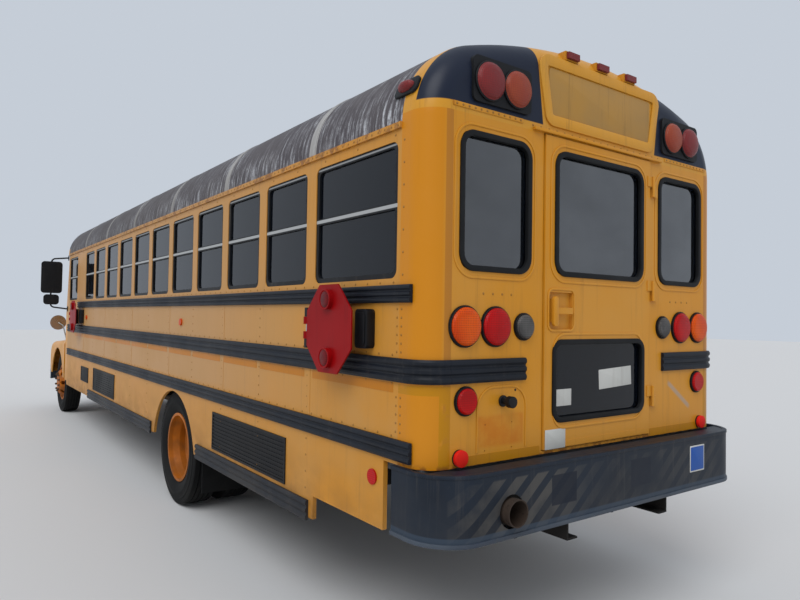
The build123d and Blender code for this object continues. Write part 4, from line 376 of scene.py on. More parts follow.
def cap_marks(at):
    """Black paint round the warning lamps, short of the joint with the roof skin."""
    leaning = abs(at.y + 0.02) - (at.z - 2.68) * 0.13
    ends = at.x.ramp(st(112), st(106)).most(at.x.ramp(st(9094), st(9100)))
    return [(leaning.ramp(0.489, 0.495) * at.z.ramp(2.676, 2.682) * ends, (22, 30, 48))]


def side_marks(at):
    """Sandy bloom between the rails and towards the front, stronger orange near the rear."""
    above = at.z.ramp(1.09, 1.17) * (1.0 - at.z.ramp(1.72, 1.80) * 0.3)
    bloom = (above * 0.7 + 0.3) * (at.x.ramp(st(300), st(3200)) * 0.65 + 0.15)
    rusty_edge = at.z.ramp(2.560, 2.574) * at.noise(16.0, 8, 0.7).ramp(0.46, 0.62)
    foot = (1.0 - at.z.ramp(0.50, 0.75)) * at.noise(9.0, 6).ramp(0.4, 0.65)
    return [
        (bloom, (182, 141, 93)),
        (rusty_edge * 0.75, (124, 78, 42)),
        (foot * 0.6, (112, 74, 40)),
        (abs(at.y).ramp(1.188, 1.186) * at.z.ramp(0.995, 1.000), LINING),
    ]


# %% Paints of the body
side_paint = painted("side_paint", (204, 136, 26), (192, 146, 84), GRIME, BARE,
                     mark=side_marks, Fading=0.5, Streaks=0.3, Chips=0.25, Gloss=0.38)
rear_paint = painted("rear_paint", (206, 138, 28), (204, 146, 62), GRIME, BARE,
                     mark=rear_marks, Fading=0.6, Streaks=0.22, Chips=0.2, Gloss=0.3)
cap_paint = painted("cap_paint", (208, 146, 40), (200, 148, 66), GRIME, BARE,
                    mark=cap_marks, Fading=0.6, Streaks=0.4, Chips=0.2, Gloss=0.35)
front_paint = painted("front_paint", (212, 146, 44), (204, 150, 74), GRIME, BARE,
                      Fading=0.55, Streaks=0.25, Chips=0.35, Gloss=0.3)
wear("side_left side_right", side_paint)
wear("rear_wall rear_door", rear_paint)
wear("roof_caps", cap_paint)
wear("cowl hood entry_leaf_front entry_leaf_rear", front_paint)
print("body paints", [paint.name for paint in (side_paint, rear_paint, cap_paint, front_paint)])

# %% [markdown]
# ## Roof
# The roof skin is bare where the paint has chalked away: grey-brown and mottled, with pale runs
# across it. Over every second window post a pale band marks the bow beneath. The bands could be
# strips laid on the skin, but they have no edge to catch light, so they are colour. The
# fraction of a length starts again at every bow, which repeats the band without a list.

# %% Roof finish
FIRST_POST = 1077.75
POST_PITCH = 673.5
BOWS_PER_METRE = 1000 / (2 * POST_PITCH)


def roof_marks(at):
    """Pale bands over the bows, and pale runs down the slopes."""
    along = (at.x - st(FIRST_POST)) * BOWS_PER_METRE + 10.5
    away = abs(along.combine("FRACT", along) - 0.5)
    gather = (1.0 - away.ramp(0.03, 0.24)).most(at.z.ramp(2.86, 2.62))
    gather = gather + at.x.ramp(st(1000), st(250)) * 0.5
    cloud = at.noise(1.1, 5, 0.6).ramp(0.36, 0.62) * 0.5 + gather * 0.7
    runs = at.noise(3.4, 8, 0.75, (11, 1.5, 1.5)).ramp(0.46, 0.66) * cloud
    runs = runs * at.noise(14.0, 8, 0.8, (3, 3, 3)).ramp(0.25, 0.6)
    runs = runs * (at.z.ramp(3.14, 2.95) * 0.5 + 0.45)
    return [
        (runs * 1.1, (188, 190, 194)),
        ((1.0 - away.ramp(0.028, 0.034)) * 0.6, (190, 188, 184)),
        (at.x.ramp(st(300), st(5200)) * 0.4, (58, 52, 50)),
    ]


roof_paint = painted("roof_paint", (74, 68, 72), (98, 94, 96), (44, 40, 42), (58, 44, 36),
                     mark=roof_marks, bump=0.2, Fading=0.9, Streaks=0.7, Chips=1.0,
                     Road_Dirt=0.0, Gloss=0.55)
wear("roof", roof_paint)
print("roof finished,", round(BOWS_PER_METRE, 3), "bands per metre")


# %% [markdown]
# ## Black trim, bumper and chassis
# The rub rails and the bumper are blue-black enamel, chalky on top and scuffed. The bumper
# still shows faint diagonal bars and two dark squares, and its foot has worn paler. Below the
# floor everything is grey with road dust, and bare steel has rusted. The frame's black is made
# extra dark as painted shade, so the rail ends under the bumper sit in shadow. The bars could be
# thin strips, but they are worn flat, so they are colour: a sum of width and height gives the
# slant.

# %% Dark finishes
BAR_LEAN = 1.2
BAR_SHIFT = 9.947
BARS_PER_METRE = 7.0
SQUARE_MIDDLES = (0.4625, -0.170)
SQUARE_HALF = 0.092


def bumper_marks(at):
    """Faded bars, dark squares and a worn foot on the bumper's face."""
    lean = (at.z * BAR_LEAN + at.y + BAR_SHIFT) * BARS_PER_METRE
    bar = abs(lean.combine("FRACT", lean) - 0.5).ramp(0.2, 0.24)
    patchy = at.noise(3.0, 6).ramp(0.3, 0.6) * (at.y.ramp(0.25, 0.62) * 0.7 + 0.3)
    face = at.x.ramp(-5.5, -5.56) * (1.0 - at.z.ramp(0.955, 0.965))
    bar = bar * patchy * abs(at.y).ramp(1.17, 1.16) * face
    layers = [(bar * 0.6, (90, 86, 80)), ((1.0 - at.z.ramp(0.728, 0.736)) * 0.6, (58, 72, 88))]
    for middle in SQUARE_MIDDLES:
        square = at.y.band(middle - SQUARE_HALF, middle + SQUARE_HALF, 0.003)
        layers.append((square * at.z.band(0.79, 0.935, 0.003) * 0.85, (16, 24, 38)))
    return layers


def soot_marks(at):
    """Soot darkens the last hand's width of the tail pipe."""
    return [(at.x.ramp(st(330), st(60)) * 0.8, (40, 34, 30))]


def housing_marks(at):
    """The three lamp housings on the roof's crown are painted like the cap."""
    return [(at.z.ramp(3.040, 3.046), (196, 134, 34))]


ROAD = (96, 90, 82)
RUST = (96, 56, 34)
trim_paint = painted("trim_paint", (14, 18, 26), (30, 36, 46), ROAD, (110, 84, 48),
                     Fading=0.7, Streaks=0.2, Chips=0.4, Road_Dirt=0.3, Gloss=0.42)
bumper_paint = painted("bumper_paint", (14, 23, 35), (30, 40, 53), ROAD, RUST, mark=bumper_marks,
                       Fading=0.8, Streaks=0.25, Chips=0.6, Road_Dirt=0.3, Gloss=0.4)
# The frame's near-black is partly real black paint and partly painted shade: the rail ends that show
# under the bumper are darkened so they sit in shadow.
chassis_paint_and_shade = painted("chassis_paint_and_shade", (16, 16, 17), (30, 28, 27), (52, 46, 40), RUST,
                        Fading=0.7, Chips=0.8, Road_Dirt=0.5, Gloss=0.65)
rusty_steel = painted("rusty_steel", (92, 66, 48), (112, 98, 86), (84, 72, 60), (58, 34, 22),
                      mark=soot_marks, bump=0.3, Fading=0.9, Chips=1.4, Road_Dirt=0.7, Gloss=0.7)
cast_iron = painted("cast_iron", (66, 58, 52), (88, 78, 70), (92, 80, 66), RUST,
                    bump=0.3, Fading=0.8, Chips=1.2, Road_Dirt=0.8, Gloss=0.7)
cabin_lining = painted("cabin_lining", (70, 74, 78), (92, 96, 98), (60, 52, 44), RUST,
                       Fading=0.5, Chips=0.2, Road_Dirt=0.2, Gloss=0.5)
black_plastic = painted("black_plastic", (13, 14, 17), (28, 29, 32), (60, 56, 50), (50, 48, 46),
                        mark=housing_marks, bump=0.12, Fading=0.7, Chips=0.4, Road_Dirt=0.3,
                        Gloss=0.48)
wear("rub_rails front_grille", trim_paint)
wear("rear_bumper front_bumper", bumper_paint)
wear("frame_rails crossmembers tow_eyes", chassis_paint_and_shade)
wear("exhaust leaf_springs driveshaft tie_rod", rusty_steel)
wear("rear_axle front_axle knuckle_left knuckle_right engine fuel_tank radiator", cast_iron)
wear("floor stepwell seat_frames dash", cabin_lining)
wear("lamp_housings mirrors stop_arm_bases skirt_vents mud_flaps", black_plastic)
print("dark finishes on,", len(bpy.data.materials), "materials so far")

# %% [markdown]
# ## Wheels, sign, sash and bright metal
# The wheels are yellow with brown brake dust in the dish, and the stop signs are faded red
# enamel. Sash bars are milled aluminium between black frames. Bars and frames are one solid
# here, so the bright bars are picked out by their height.

# %% More finishes
def dish_marks(at):
    """Brake dust gathers towards the middle of each wheel."""
    return [(at.noise(9.0, 6).ramp(0.45, 0.7) * 0.45, (110, 66, 26))]


def sash_marks(at):
    """Bare aluminium on the meeting bar half way up each window, and a little at its head."""
    head = at.z.band(2.499, 2.508, 0.001) * 0.7
    return [(at.z.band(2.203, 2.221, 0.001).most(head), (168, 170, 170))]


wheel_paint = painted("wheel_paint", (190, 104, 4), (164, 92, 16), (84, 52, 24), RUST,
                      mark=dish_marks, Fading=0.6, Streaks=0.2, Chips=0.9, Road_Dirt=0.5, Gloss=0.4)
sign_paint = painted("sign_paint", (146, 6, 10), (130, 12, 16), (60, 12, 14), (84, 12, 14),
                     shine=0.1, Fading=0.6, Streaks=0.3, Chips=0.4, Road_Dirt=0.0, Gloss=0.35)
sash_paint = painted("sash_paint", (16, 17, 19), (30, 31, 33), ROAD, (80, 78, 74),
                     mark=sash_marks, Fading=0.6, Chips=0.3, Road_Dirt=0.0, Gloss=0.45)
bright_metal = painted("bright_metal", (180, 176, 170), (150, 146, 140), (96, 84, 70), RUST,
                       Fading=0.6, Chips=0.5, Road_Dirt=0.3, Gloss=0.25)
bright_metal.node_tree.nodes["Principled BSDF"].inputs["Metallic"].default_value = 0.9
tape_paint = painted("tape_paint", (188, 128, 6), (178, 118, 24), GRIME, (150, 100, 30),
                     Fading=0.9, Streaks=0.35, Chips=0.9, Road_Dirt=0.2, Gloss=0.35)
wear("rear_rims_left rear_rims_right front_rim_left front_rim_right", wheel_paint)
wear("stop_sign_front stop_sign_rear", sign_paint)
wear("window_frames", sash_paint)
wear("rear_door_handle", rear_paint)
print("bright finishes on,", len(bpy.data.materials), "materials")

# %% [markdown]
# ## Rubber, vinyl and glass
# Rubber is dark with a dusty bloom and fine grain. A picture of rubber could give the grain,
# but fine noise gives it at any size. Glass is dark and clear, with a thin film of dust that
# only changes how sharp its reflections are. The rear panes carry a mirror-like coat, so they
# show more of the sky than the side panes do.

# %% Rubber and vinyl finishes
def grained(name, colour, bloom, scale, depth, roughness):
    """Soft dark stuff with a fine grain and a pale bloom in patches."""
    finish, tree, shader = new_finish(name)
    at = Surface(tree)
    bloomed = at.layered(chart(*colour), [(at.noise(4.0, 6).ramp(0.35, 0.75), chart(*bloom))])
    tree.links.new(bloomed, shader.inputs["Base Color"])
    grain = at.noise(scale, 3)
    link(tree, grain * 0.16 + (roughness - 0.08), shader.inputs["Roughness"])
    put(shader, Specular_IOR_Level=0.25)
    dented(tree, shader, grain, depth, 0.002)
    return finish


tyre_rubber = grained("tyre_rubber", (9, 10, 11), (26, 25, 24), 90, 0.4, 0.85)
seal_rubber = grained("seal_rubber", (10, 11, 13), (24, 25, 27), 120, 0.2, 0.6)
seat_vinyl = grained("seat_vinyl", (38, 48, 72), (52, 60, 80), 220, 0.5, 0.5)
wear("mud_flaps", tyre_rubber)
print("soft finishes", tyre_rubber.name, seal_rubber.name, seat_vinyl.name)


# %% [markdown]
# ## Lenses
# A lens is moulded with fine ribs, and light gathers in a grid of small dots. Ribs could be cut
# into the mesh, but there would be thousands. A wave in the bump and a grid in the colour show
# the same from a step away. High up on the roof caps the lenses are duller.

# %% Glass and lenses
LENS_GRID = 300
LENS_RIBS = 1150


def scaled(colour, share, more=0.0):
    """A colour with each part scaled and raised."""
    return tuple(share * part + more for part in colour[:3]) + (1,)


def clear_glass(name, tint):
    """Tinted pane with a film of dust."""
    finish, tree, shader = new_finish(name)
    at = Surface(tree)
    film = at.noise(3.0, 6).ramp(0.3, 0.8)
    dusty = at.layered(tint, [(film, scaled(tint, 0.8))])
    tree.links.new(dusty, shader.inputs["Base Color"])
    link(tree, film * 0.07 + 0.02, shader.inputs["Roughness"])
    coated = at.x.ramp(st(150), st(60)) * at.z.ramp(1.70, 1.74)
    clouds = at.noise(2.3, 6, stretch=(1, 1, 1.4)).ramp(0.1, 0.9)
    link(tree, coated * (clouds * 0.4 + 0.6), shader.inputs["Coat Weight"])
    put(shader, Transmission_Weight=0.85, IOR=1.42, Specular_IOR_Level=0.15, Coat_IOR=2.1,
        Coat_Roughness=0.06)
    return finish


def lens_finish(name, deep, pale):
    """Moulded lens with fine ribs, duller high up on the roof caps."""
    finish, tree, shader = new_finish(name)
    at = Surface(tree)
    deep = chart(*deep)
    grid = (at.y * LENS_GRID).sine() * (at.z * LENS_GRID).sine()
    shade = at.layered(deep, [
        (at.noise(7.0, 4).ramp(0.3, 0.7), chart(*pale)),
        (abs(grid).ramp(0.25, 0.6) * 0.45, scaled(deep, 0.45)),
        (at.z.ramp(2.55, 2.60) * 0.7, scaled(deep, 0.18, 0.035)),
    ])
    tree.links.new(shade, shader.inputs["Base Color"])
    ribs = (at.y * LENS_RIBS).sine() + (at.z * LENS_RIBS).sine() + (at.x * LENS_RIBS).sine()
    dented(tree, shader, ribs, 0.35, 0.0006)
    link(tree, at.noise(5.0, 5).ramp(-0.4, 2.0), shader.inputs["Roughness"])
    put(shader, Specular_IOR_Level=0.15, Coat_Weight=0.08)
    return finish


tinted_glass = clear_glass("tinted_glass", chart(28, 38, 54))
red_lens = lens_finish("red_lens", (164, 2, 4), (192, 6, 8))
amber_lens = lens_finish("amber_lens", (206, 64, 2), (228, 92, 8))
clear_lens = lens_finish("clear_lens", (52, 50, 50), (96, 94, 92))
wear("window_glass rear_door_glass entry_glass_front entry_glass_rear", tinted_glass)
wear("lenses_red", red_lens)
wear("lenses_amber", amber_lens)
wear("lenses_clear headlamps", clear_lens)
wear("crossview_mirrors", bright_metal)
print("materials", len(bpy.data.materials))


# %% [markdown]
# ## Shaping helpers
# Each new piece starts as a primitive, is shaped in edit mode, and is then laid on a wall. A
# wall is given by the way it faces, so a plate is always drawn flat and never has to be turned
# by hand. The last step says which moving body the piece belongs to. Every place is baked into
# the mesh, so that object coordinates are the bus's own and patterns run on from piece to
# piece.

# %% Starting, laying and finishing a piece
WALLS = {
    "rear": Matrix(((0, 0, -1), (-1, 0, 0), (0, 1, 0))),
    "front": Matrix(((0, 0, 1), (1, 0, 0), (0, 1, 0))),
    "left": Matrix(((-1, 0, 0), (0, 0, 1), (0, 1, 0))),
    "right": Matrix(((1, 0, 0), (0, 0, -1), (0, 1, 0))),
    "top": Matrix.Identity(3),
}


def only(piece):
    """Selects one piece and nothing else."""
    bpy.ops.object.select_all(action="DESELECT")
    piece.select_set(True)
    bpy.context.view_layer.objects.active = piece


@contextmanager
def editing(piece):
    """Edit mode with the whole of a piece selected, and back."""
    only(piece)
    bpy.ops.object.mode_set(mode="EDIT")
    bpy.ops.mesh.select_all(action="SELECT")
    yield
    bpy.ops.object.mode_set(mode="OBJECT")


def started(add, scale=(1, 1, 1), **settings):
    """New primitive with its size and place in its mesh."""
    bpy.ops.object.select_all(action="DESELECT")
    add(**settings)
    piece = bpy.context.object
    piece.scale = scale
    bpy.ops.object.transform_apply(location=True, rotation=True, scale=True)
    return piece


def modified(piece, kind, **settings):
    """Gives a piece one modifier and applies it."""
    modifier = piece.modifiers.new("shape", kind)
    for name, value in settings.items():
        setattr(modifier, name, value)
    only(piece)
    bpy.ops.object.modifier_apply(modifier=modifier.name)
    return piece


def cut(piece, place, facing, **halves):
    """Cuts a piece with a plane and closes the cut. halves says which side goes."""
    with editing(piece):
        bpy.ops.mesh.bisect(plane_co=place, plane_no=facing, use_fill=True, **halves)
    return piece


def turned(piece, degrees):
    """Turns a piece in its own plane."""
    with editing(piece):
        bpy.ops.transform.rotate(value=math.radians(degrees), orient_axis="Z",
                                 center_override=(0, 0, 0))
    return piece


def lay(piece, wall, place):
    """Turns a piece from the drawing plane onto a wall and moves it there."""
    piece.matrix_world = Matrix.Translation(Vector(place)) @ WALLS[wall].to_4x4()
    only(piece)
    bpy.ops.object.transform_apply(location=True, rotation=True, scale=True)
    return piece


def joined(parts):
    """One piece from several."""
    only(parts[0])
    for part in parts:
        part.select_set(True)
    if len(parts) > 1:
        bpy.ops.object.join()
    return bpy.context.object


def dress(parts, name, finish, body, smooth=35):
    """Last step for a piece: name, finish, shading and the body that it rides on."""
    piece = joined(parts) if isinstance(parts, list) else parts
    piece.name = name
    only(piece)
    bpy.ops.object.shade_smooth_by_angle(angle=math.radians(smooth))
    piece.data.materials.clear()
    piece.data.materials.append(finish)
    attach(piece, body)
    return piece


# %% [markdown]
# ## Plates with round corners
# Most pressed and moulded trim is a flat plate with round corners, or a ring of the same form. It
# could be a curve with a depth, but a plane whose corners are bevelled keeps even faces for the
# rolled edge. A ring is opened by an inset, and an extrusion gives either its thickness.

# %% Plates, rows and copies
def rounded_plate(width, tall, radius, thick, inner=None, steps=6, soft_edge=True):
    """Plate with round corners, or a ring of the given bar width, standing on z = 0."""
    piece = started(bpy.ops.mesh.primitive_plane_add, (width, tall, 1), size=1)
    with editing(piece):
        bpy.ops.mesh.bevel(offset=radius, segments=steps, affect="VERTICES")
        bpy.ops.mesh.select_all(action="SELECT")
        if inner:
            bpy.ops.mesh.inset(thickness=inner)
            bpy.ops.mesh.delete(type="FACE")
            bpy.ops.mesh.select_all(action="SELECT")
        bpy.ops.mesh.extrude_region_move(TRANSFORM_OT_translate={"value": (0, 0, thick)})
        bpy.ops.mesh.select_all(action="SELECT")
        bpy.ops.mesh.normals_make_consistent(inside=False)
    if soft_edge:
        modified(piece, "BEVEL", width=min(thick * 0.35, 0.003), segments=2, limit_method="ANGLE")
    return piece


def plate_on(wall, place, *form, **more):
    """Rounded plate, laid on a wall."""
    return lay(rounded_plate(*form, **more), wall, place)


def row(piece, count, step):
    """Repeats a piece along a line."""
    return modified(piece, "ARRAY", count=count, use_relative_offset=False,
                    use_constant_offset=True, constant_offset_displace=step)


def copies(piece, places):
    """Copies of a piece, each laid at its own place."""
    made = []
    for place in places:
        copy_of = piece.copy()
        copy_of.data = piece.data.copy()
        bpy.context.collection.objects.link(copy_of)
        made.append(lay(copy_of, "top", place))
    return made


print("walls", sorted(WALLS))

# %% [markdown]
# ## Tyres
# A tyre is a section turned about its axle. The section has the bead, the bulging side wall
# with two raised rings, the square shoulder and four tread grooves. Grooves could be cut into a
# plain ring, but a spin gives every ring and groove in one step. The bus stands on its tyres,
# so the crown is exactly as high as the solid's.

# %% One tyre, then six
TYRE_R = 0.495
TINY = 0.0002
HALF_SECTION = [
    (0.093, 0.2868), (0.0955, 0.305), (0.104, 0.318), (0.116, 0.345), (0.1245, 0.380),
    (0.1262, 0.392), (0.1262, 0.398), (0.1238, 0.402), (0.1225, 0.428), (0.1205, 0.436),
    (0.1215, 0.440), (0.1210, 0.446), (0.1165, 0.450), (0.1135, 0.462), (0.1135, 0.478),
    (0.1060, 0.4915), (0.0665, 0.4945), (0.0645, 0.4825), (0.0590, 0.4825), (0.0570, 0.4947),
    (0.0250, 0.4950), (0.0230, 0.4825), (0.0175, 0.4825), (0.0155, 0.4950),
]
section = [(-y, r) for y, r in HALF_SECTION] + HALF_SECTION[::-1]
tyre = started(bpy.ops.mesh.primitive_circle_add, vertices=len(section), radius=1,
               fill_type="NOTHING")
for vertex, (along, radius) in zip(tyre.data.vertices, section):
    vertex.co = (0, along, radius)
with editing(tyre):
    bpy.ops.mesh.spin(steps=96, angle=math.tau, center=(0, 0, 0), axis=(0, 1, 0))
    bpy.ops.mesh.select_all(action="SELECT")
    bpy.ops.mesh.remove_doubles(threshold=TINY)
    bpy.ops.mesh.normals_make_consistent(inside=False)

REAR_WHEEL_X = st(3600)
FRONT_WHEEL_X = st(10052)
WHEEL_SETS = {
    "rear_wheels_left": ("rear_tires_left", REAR_WHEEL_X, (1.063, 0.733)),
    "rear_wheels_right": ("rear_tires_right", REAR_WHEEL_X, (-1.063, -0.733)),
    "front_wheel_left": ("front_tire_left", FRONT_WHEEL_X, (1.03,)),
    "front_wheel_right": ("front_tire_right", FRONT_WHEEL_X, (-1.03,)),
}
for body, (node, wheel_x, middles) in WHEEL_SETS.items():
    made = copies(tyre, [(wheel_x, middle, TYRE_R) for middle in middles])
    piece = dress(made, "tyres_" + body, tyre_rubber, body)
    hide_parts(node)
bpy.data.objects.remove(tyre)
print("tyres of", len(section), "points round,", len(WHEEL_SETS), "wheel ends")

# %% [markdown]
# ## Wheel nuts
# Ten nuts hold each wheel. One nut with its stud end is made and then spun round the hub. Ten
# copies placed by sums would look the same, but the spin is one step and keeps every nut on the
# ring.

# %% Nuts on every wheel
NUT_RING = 0.1429
NUT_PROUD = 0.013
BOTH = ((1, "left"), (-1, "right"))


def nut_ring(wheel_x, face_y, side):
    """Ten nuts facing outwards."""
    parts = [started(bpy.ops.mesh.primitive_cylinder_add, vertices=vertices, radius=radius,
                     depth=depth, location=(0, 0, NUT_RING), rotation=(math.pi / 2, 0, 0))
             for vertices, radius, depth in ((6, 0.019, 0.024), (10, 0.010, 0.040))]
    piece = modified(joined(parts), "BEVEL", width=0.0015, segments=1)
    with editing(piece):
        bpy.ops.mesh.spin(steps=10, angle=math.tau, dupli=True, center=(0, 0, 0), axis=(0, 1, 0))
        bpy.ops.mesh.select_all(action="SELECT")
        bpy.ops.mesh.remove_doubles(threshold=TINY)
    return lay(piece, "top", (wheel_x, face_y + side * NUT_PROUD, TYRE_R))


for side, word in BOTH:
    dress(nut_ring(REAR_WHEEL_X, side * 0.910, side), "nuts_rear_" + word, rusty_steel,
          "rear_wheels_" + word)
    dress(nut_ring(FRONT_WHEEL_X, side * 1.195, side), "nuts_front_" + word, rusty_steel,
          "front_wheel_" + word)
print("nuts on")

# %% [markdown]
# ## Window gaskets
# Every fixed pane at the rear and the windscreen sits in a black rubber gasket with round
# corners. It could be a tube bent round the opening, but the real one lies flat on the sheet
# and square on the pane. So a plate with round corners is inset and opened, which leaves a
# ring. A low bead is pressed into the sheet round each of the rear panes.

# %% Rear gaskets
WALL_X = st(0)
DOOR_X = st(-10)
GASKET_PROUD = 0.009
GASKET_DEEP = 0.015
SMALL_PANE = (0.457, 0.642)
DOOR_PANE = (0.756, 0.638)
SMALL_PLACES = [(WALL_X, side * 0.7935, 2.233) for side in (1, -1)]
DOOR_PLACE = (DOOR_X, 0, 2.235)
LOW_PLACE = (DOOR_X, 0, 1.365)


def gasket(width, tall, wall, place, radius=0.085):
    """Rubber ring that laps the opening's edge and fills its depth down to the pane."""
    away = WALLS[wall] @ Vector((0, 0, -GASKET_DEEP))
    return plate_on(wall, Vector(place) + away, width + 0.020, tall + 0.020, radius,
                    GASKET_PROUD + GASKET_DEEP, inner=0.028, steps=8)


def surround(width, tall, place, radius=0.115):
    """Low pressed bead in the sheet round an opening."""
    return plate_on("rear", place, width + 0.088, tall + 0.088, radius, 0.004, inner=0.012, steps=8)


dress([gasket(*SMALL_PANE, "rear", place) for place in SMALL_PLACES], "gaskets_rear_wall",
      seal_rubber, "bus")
dress([surround(*SMALL_PANE, place) for place in SMALL_PLACES], "pressed_beads_rear_wall",
      rear_paint, "bus")
dress([gasket(*DOOR_PANE, "rear", DOOR_PLACE), gasket(0.780, 0.410, "rear", LOW_PLACE, 0.07)],
      "gaskets_rear_door", seal_rubber, "rear_door")
dress([surround(*DOOR_PANE, DOOR_PLACE), surround(0.700, 0.410, LOW_PLACE, 0.09)],
      "pressed_beads_rear_door", rear_paint, "rear_door")
print("gaskets and beads round", len(SMALL_PLACES) + 2, "panes")

# %% [markdown]
# ## Rear sign board
# The board over the door is blank: a raised frame that narrows downwards, with a paler panel.
# The frame could be four bars, but a ring keeps its round corners whole, and its upper half is
# widened and its lower half drawn in. A thin gutter below it keeps rain off the door, and a lip
# runs along the foot of the cap on either side.

# %% Blank board, gutter and the cap's lip
board_frame = rounded_plate(1.01, 0.366, 0.070, 0.010, inner=0.058, steps=5)
for upper, share in ((True, 1.045), (False, 0.955)):
    for corner in board_frame.data.vertices:
        corner.select = (corner.co.y > 0) == upper
    bpy.ops.object.mode_set(mode="EDIT")
    bpy.ops.transform.resize(value=(share, 1, 1), center_override=(0, 0, 0))
    bpy.ops.mesh.select_all(action="DESELECT")
    bpy.ops.object.mode_set(mode="OBJECT")
lay(board_frame, "rear", (WALL_X, -0.018, 2.866))
dress(board_frame, "rear_board_frame", cap_paint, "bus")
board_paint = painted("board_paint", (176, 132, 62), (152, 124, 82), GRIME, BARE,
                      Fading=0.8, Streaks=0.5, Chips=0.3, Gloss=0.4)
board = plate_on("rear", (WALL_X, -0.012, 2.858), 0.890, 0.256, 0.02, 0.004)
dress(board, "rear_board", board_paint, "bus")
gutter = plate_on("rear", (WALL_X, -0.01, 2.646), 1.12, 0.016, 0.004, 0.022)
dress(gutter, "door_gutter", rear_paint, "bus")
lips = [plate_on("rear", (WALL_X, side * 0.85, 2.668), 0.46, 0.022, 0.004, 0.004)
        for side in (1, -1)]
dress(lips, "cap_lip", rear_paint, "bus")
print("board", [round(size, 3) for size in board.dimensions])

# %% [markdown]
# ## Yellow tape
# Strips of reflective tape mark the door, the lower edge and the corners of the rear wall, and
# run along both sides below the seat rail. Round the corners the tape is colour alone, because
# it follows the curve. On the flat sheets a strip just over a millimetre thick shows its edge
# as real tape does.

# %% Tape strips
def strip(wall, place, width, tall, thick=0.0012):
    """Thin strip with square corners."""
    return plate_on(wall, place, width, tall, 0.002, thick, steps=1, soft_edge=False)


rear_strips = [strip("rear", (WALL_X, side * 0.760, 1.024), 0.56, 0.044) for side in (1, -1)]
dress(rear_strips, "tape_rear_wall", tape_paint, "bus")
door_strip = strip("rear", (DOOR_X, 0, 1.040), 0.86, 0.030)
dress(door_strip, "tape_rear_door", rear_paint, "rear_door")

side_strips = []
for side, wall, last in ((1, "left", 11), (-1, "right", 10)):
    runs = [(240, 0.790)] + [(1130 + POST_PITCH * index, 0.620) for index in range(last)]
    for start, length in runs:
        place = (st(start) + length / 2, side * BODY_HALF, 1.352)
        side_strips.append(strip(wall, place, length, 0.046))
side_tape = painted("side_tape", (190, 116, 0), (184, 120, 14), GRIME, BARE,
                    Fading=0.4, Streaks=0.2, Chips=0.5, Gloss=0.35)
dress(side_strips, "tape_sides", side_tape, "bus")
print("tape,", len(side_strips), "strips on the sides")

# %% [markdown]
# ## Rivets
# The panels are riveted to the frame: under the roof edge, along the rails and down the window
# posts. Dots in the bump would be lighter, but real heads catch the light one by one. A line is
# one low head with a few faces, repeated by an array.

# %% Rivet lines on both sides
def rivets(wall, place, count, step):
    """A line of low round heads."""
    head = started(bpy.ops.mesh.primitive_uv_sphere_add, (1, 1, 0.45), segments=8, ring_count=4,
                   radius=0.0065)
    return row(lay(head, wall, place), count, step)


# Rivet heads are painted darker than the wall as painted shade: the real shadow round a head this
# small is too fine to show.
rivet_paint_and_shade = painted("rivet_paint_and_shade", (160, 108, 34), (150, 116, 66), GRIME, BARE,
                      Fading=0.6, Chips=0.6, Gloss=0.4)
RIVET_LINES = ((2.545, 0.3367), (1.846, 0.112), (1.505, 0.112), (1.371, 0.2245), (1.128, 0.112))
POST_RIVETS = ((1.16, 1.34), (1.54, 1.72), (0.70, 0.98))
EDGE_PITCH = 0.056
ARCH_HALF = 0.65
for side, wall, last in ((1, "left", 9050), (-1, "right", 8220)):
    skin = side * BODY_HALF
    lines = [rivets(wall, (st(250), skin, z), int((last - 250) / 1000 / pitch), (pitch, 0, 0))
             for z, pitch in RIVET_LINES]
    for post in range(11):
        post_x = st(FIRST_POST + POST_PITCH * post)
        for low_z, high_z in POST_RIVETS:
            if low_z < 1 and abs(post_x - REAR_WHEEL_X) < ARCH_HALF:
                continue
            lines.append(rivets(wall, (post_x + 0.014, skin, low_z), 4, (0, 0, (high_z - low_z) / 3)))
    lines.append(rivets(wall, (st(215), side * (BODY_HALF + 0.012), 2.585),
                        int((last - 215) / 1000 / EDGE_PITCH), (EDGE_PITCH, 0, 0)))
    for column in (182, 216):
        for low_z, count in ((1.150, 5), (1.520, 6)):
            lines.append(rivets(wall, (st(column), skin, low_z), count, (0, 0, 0.040)))
    lines.append(rivets(wall, (st(178), skin, 1.880), 7, (0, 0, 0.105)))
    dress(lines, "rivets_" + wall, rivet_paint_and_shade, "bus", smooth=60)
rear_lines = []
for side in (1, -1):
    rear_lines.append(rivets("rear", (st(-4), side * 0.640, 2.668), 12, (0, side * 0.038, 0)))
    rear_lines.append(rivets("rear", (WALL_X, side * 0.690, 1.800), 4, (0, side * 0.062, 0)))
rear_lines.append(rivets("rear", (WALL_X, -0.550, 2.663), 19, (0, 0.061, 0)))
dress(rear_lines, "rivets_rear", rivet_paint_and_shade, "bus", smooth=60)

# %% [markdown]
# ## Panel laps
# Outer panels overlap at every second post. The sheet could be cut in two there, but the solids
# stay as they are, so a thin raised strip stands for the edge that shows.

# %% Laps between the side panels
laps = []
for side, wall in BOTH:
    for post in range(0, 11, 2):
        for low_z, high_z in ((1.118, 1.380), (1.494, 1.747)):
            place = (st(FIRST_POST + POST_PITCH * post), side * BODY_HALF, (low_z + high_z) / 2)
            laps.append(strip(wall, place, 0.045, high_z - low_z, 0.0016))
dress(laps, "panel_laps", side_paint, "bus")
print("laps", len(laps))

# %% [markdown]
# ## Lamp rims
# Each round lamp at the rear sits in a rubber grommet, which is a ring, flattened and laid on
# the wall. Two plain red reflectors sit low down. The two small lamps on the roof's rear
# corners stand on black bases. The big lenses bulge a little. A disc with a bevel would keep a
# flat middle, so half a ball is flattened and closed underneath.

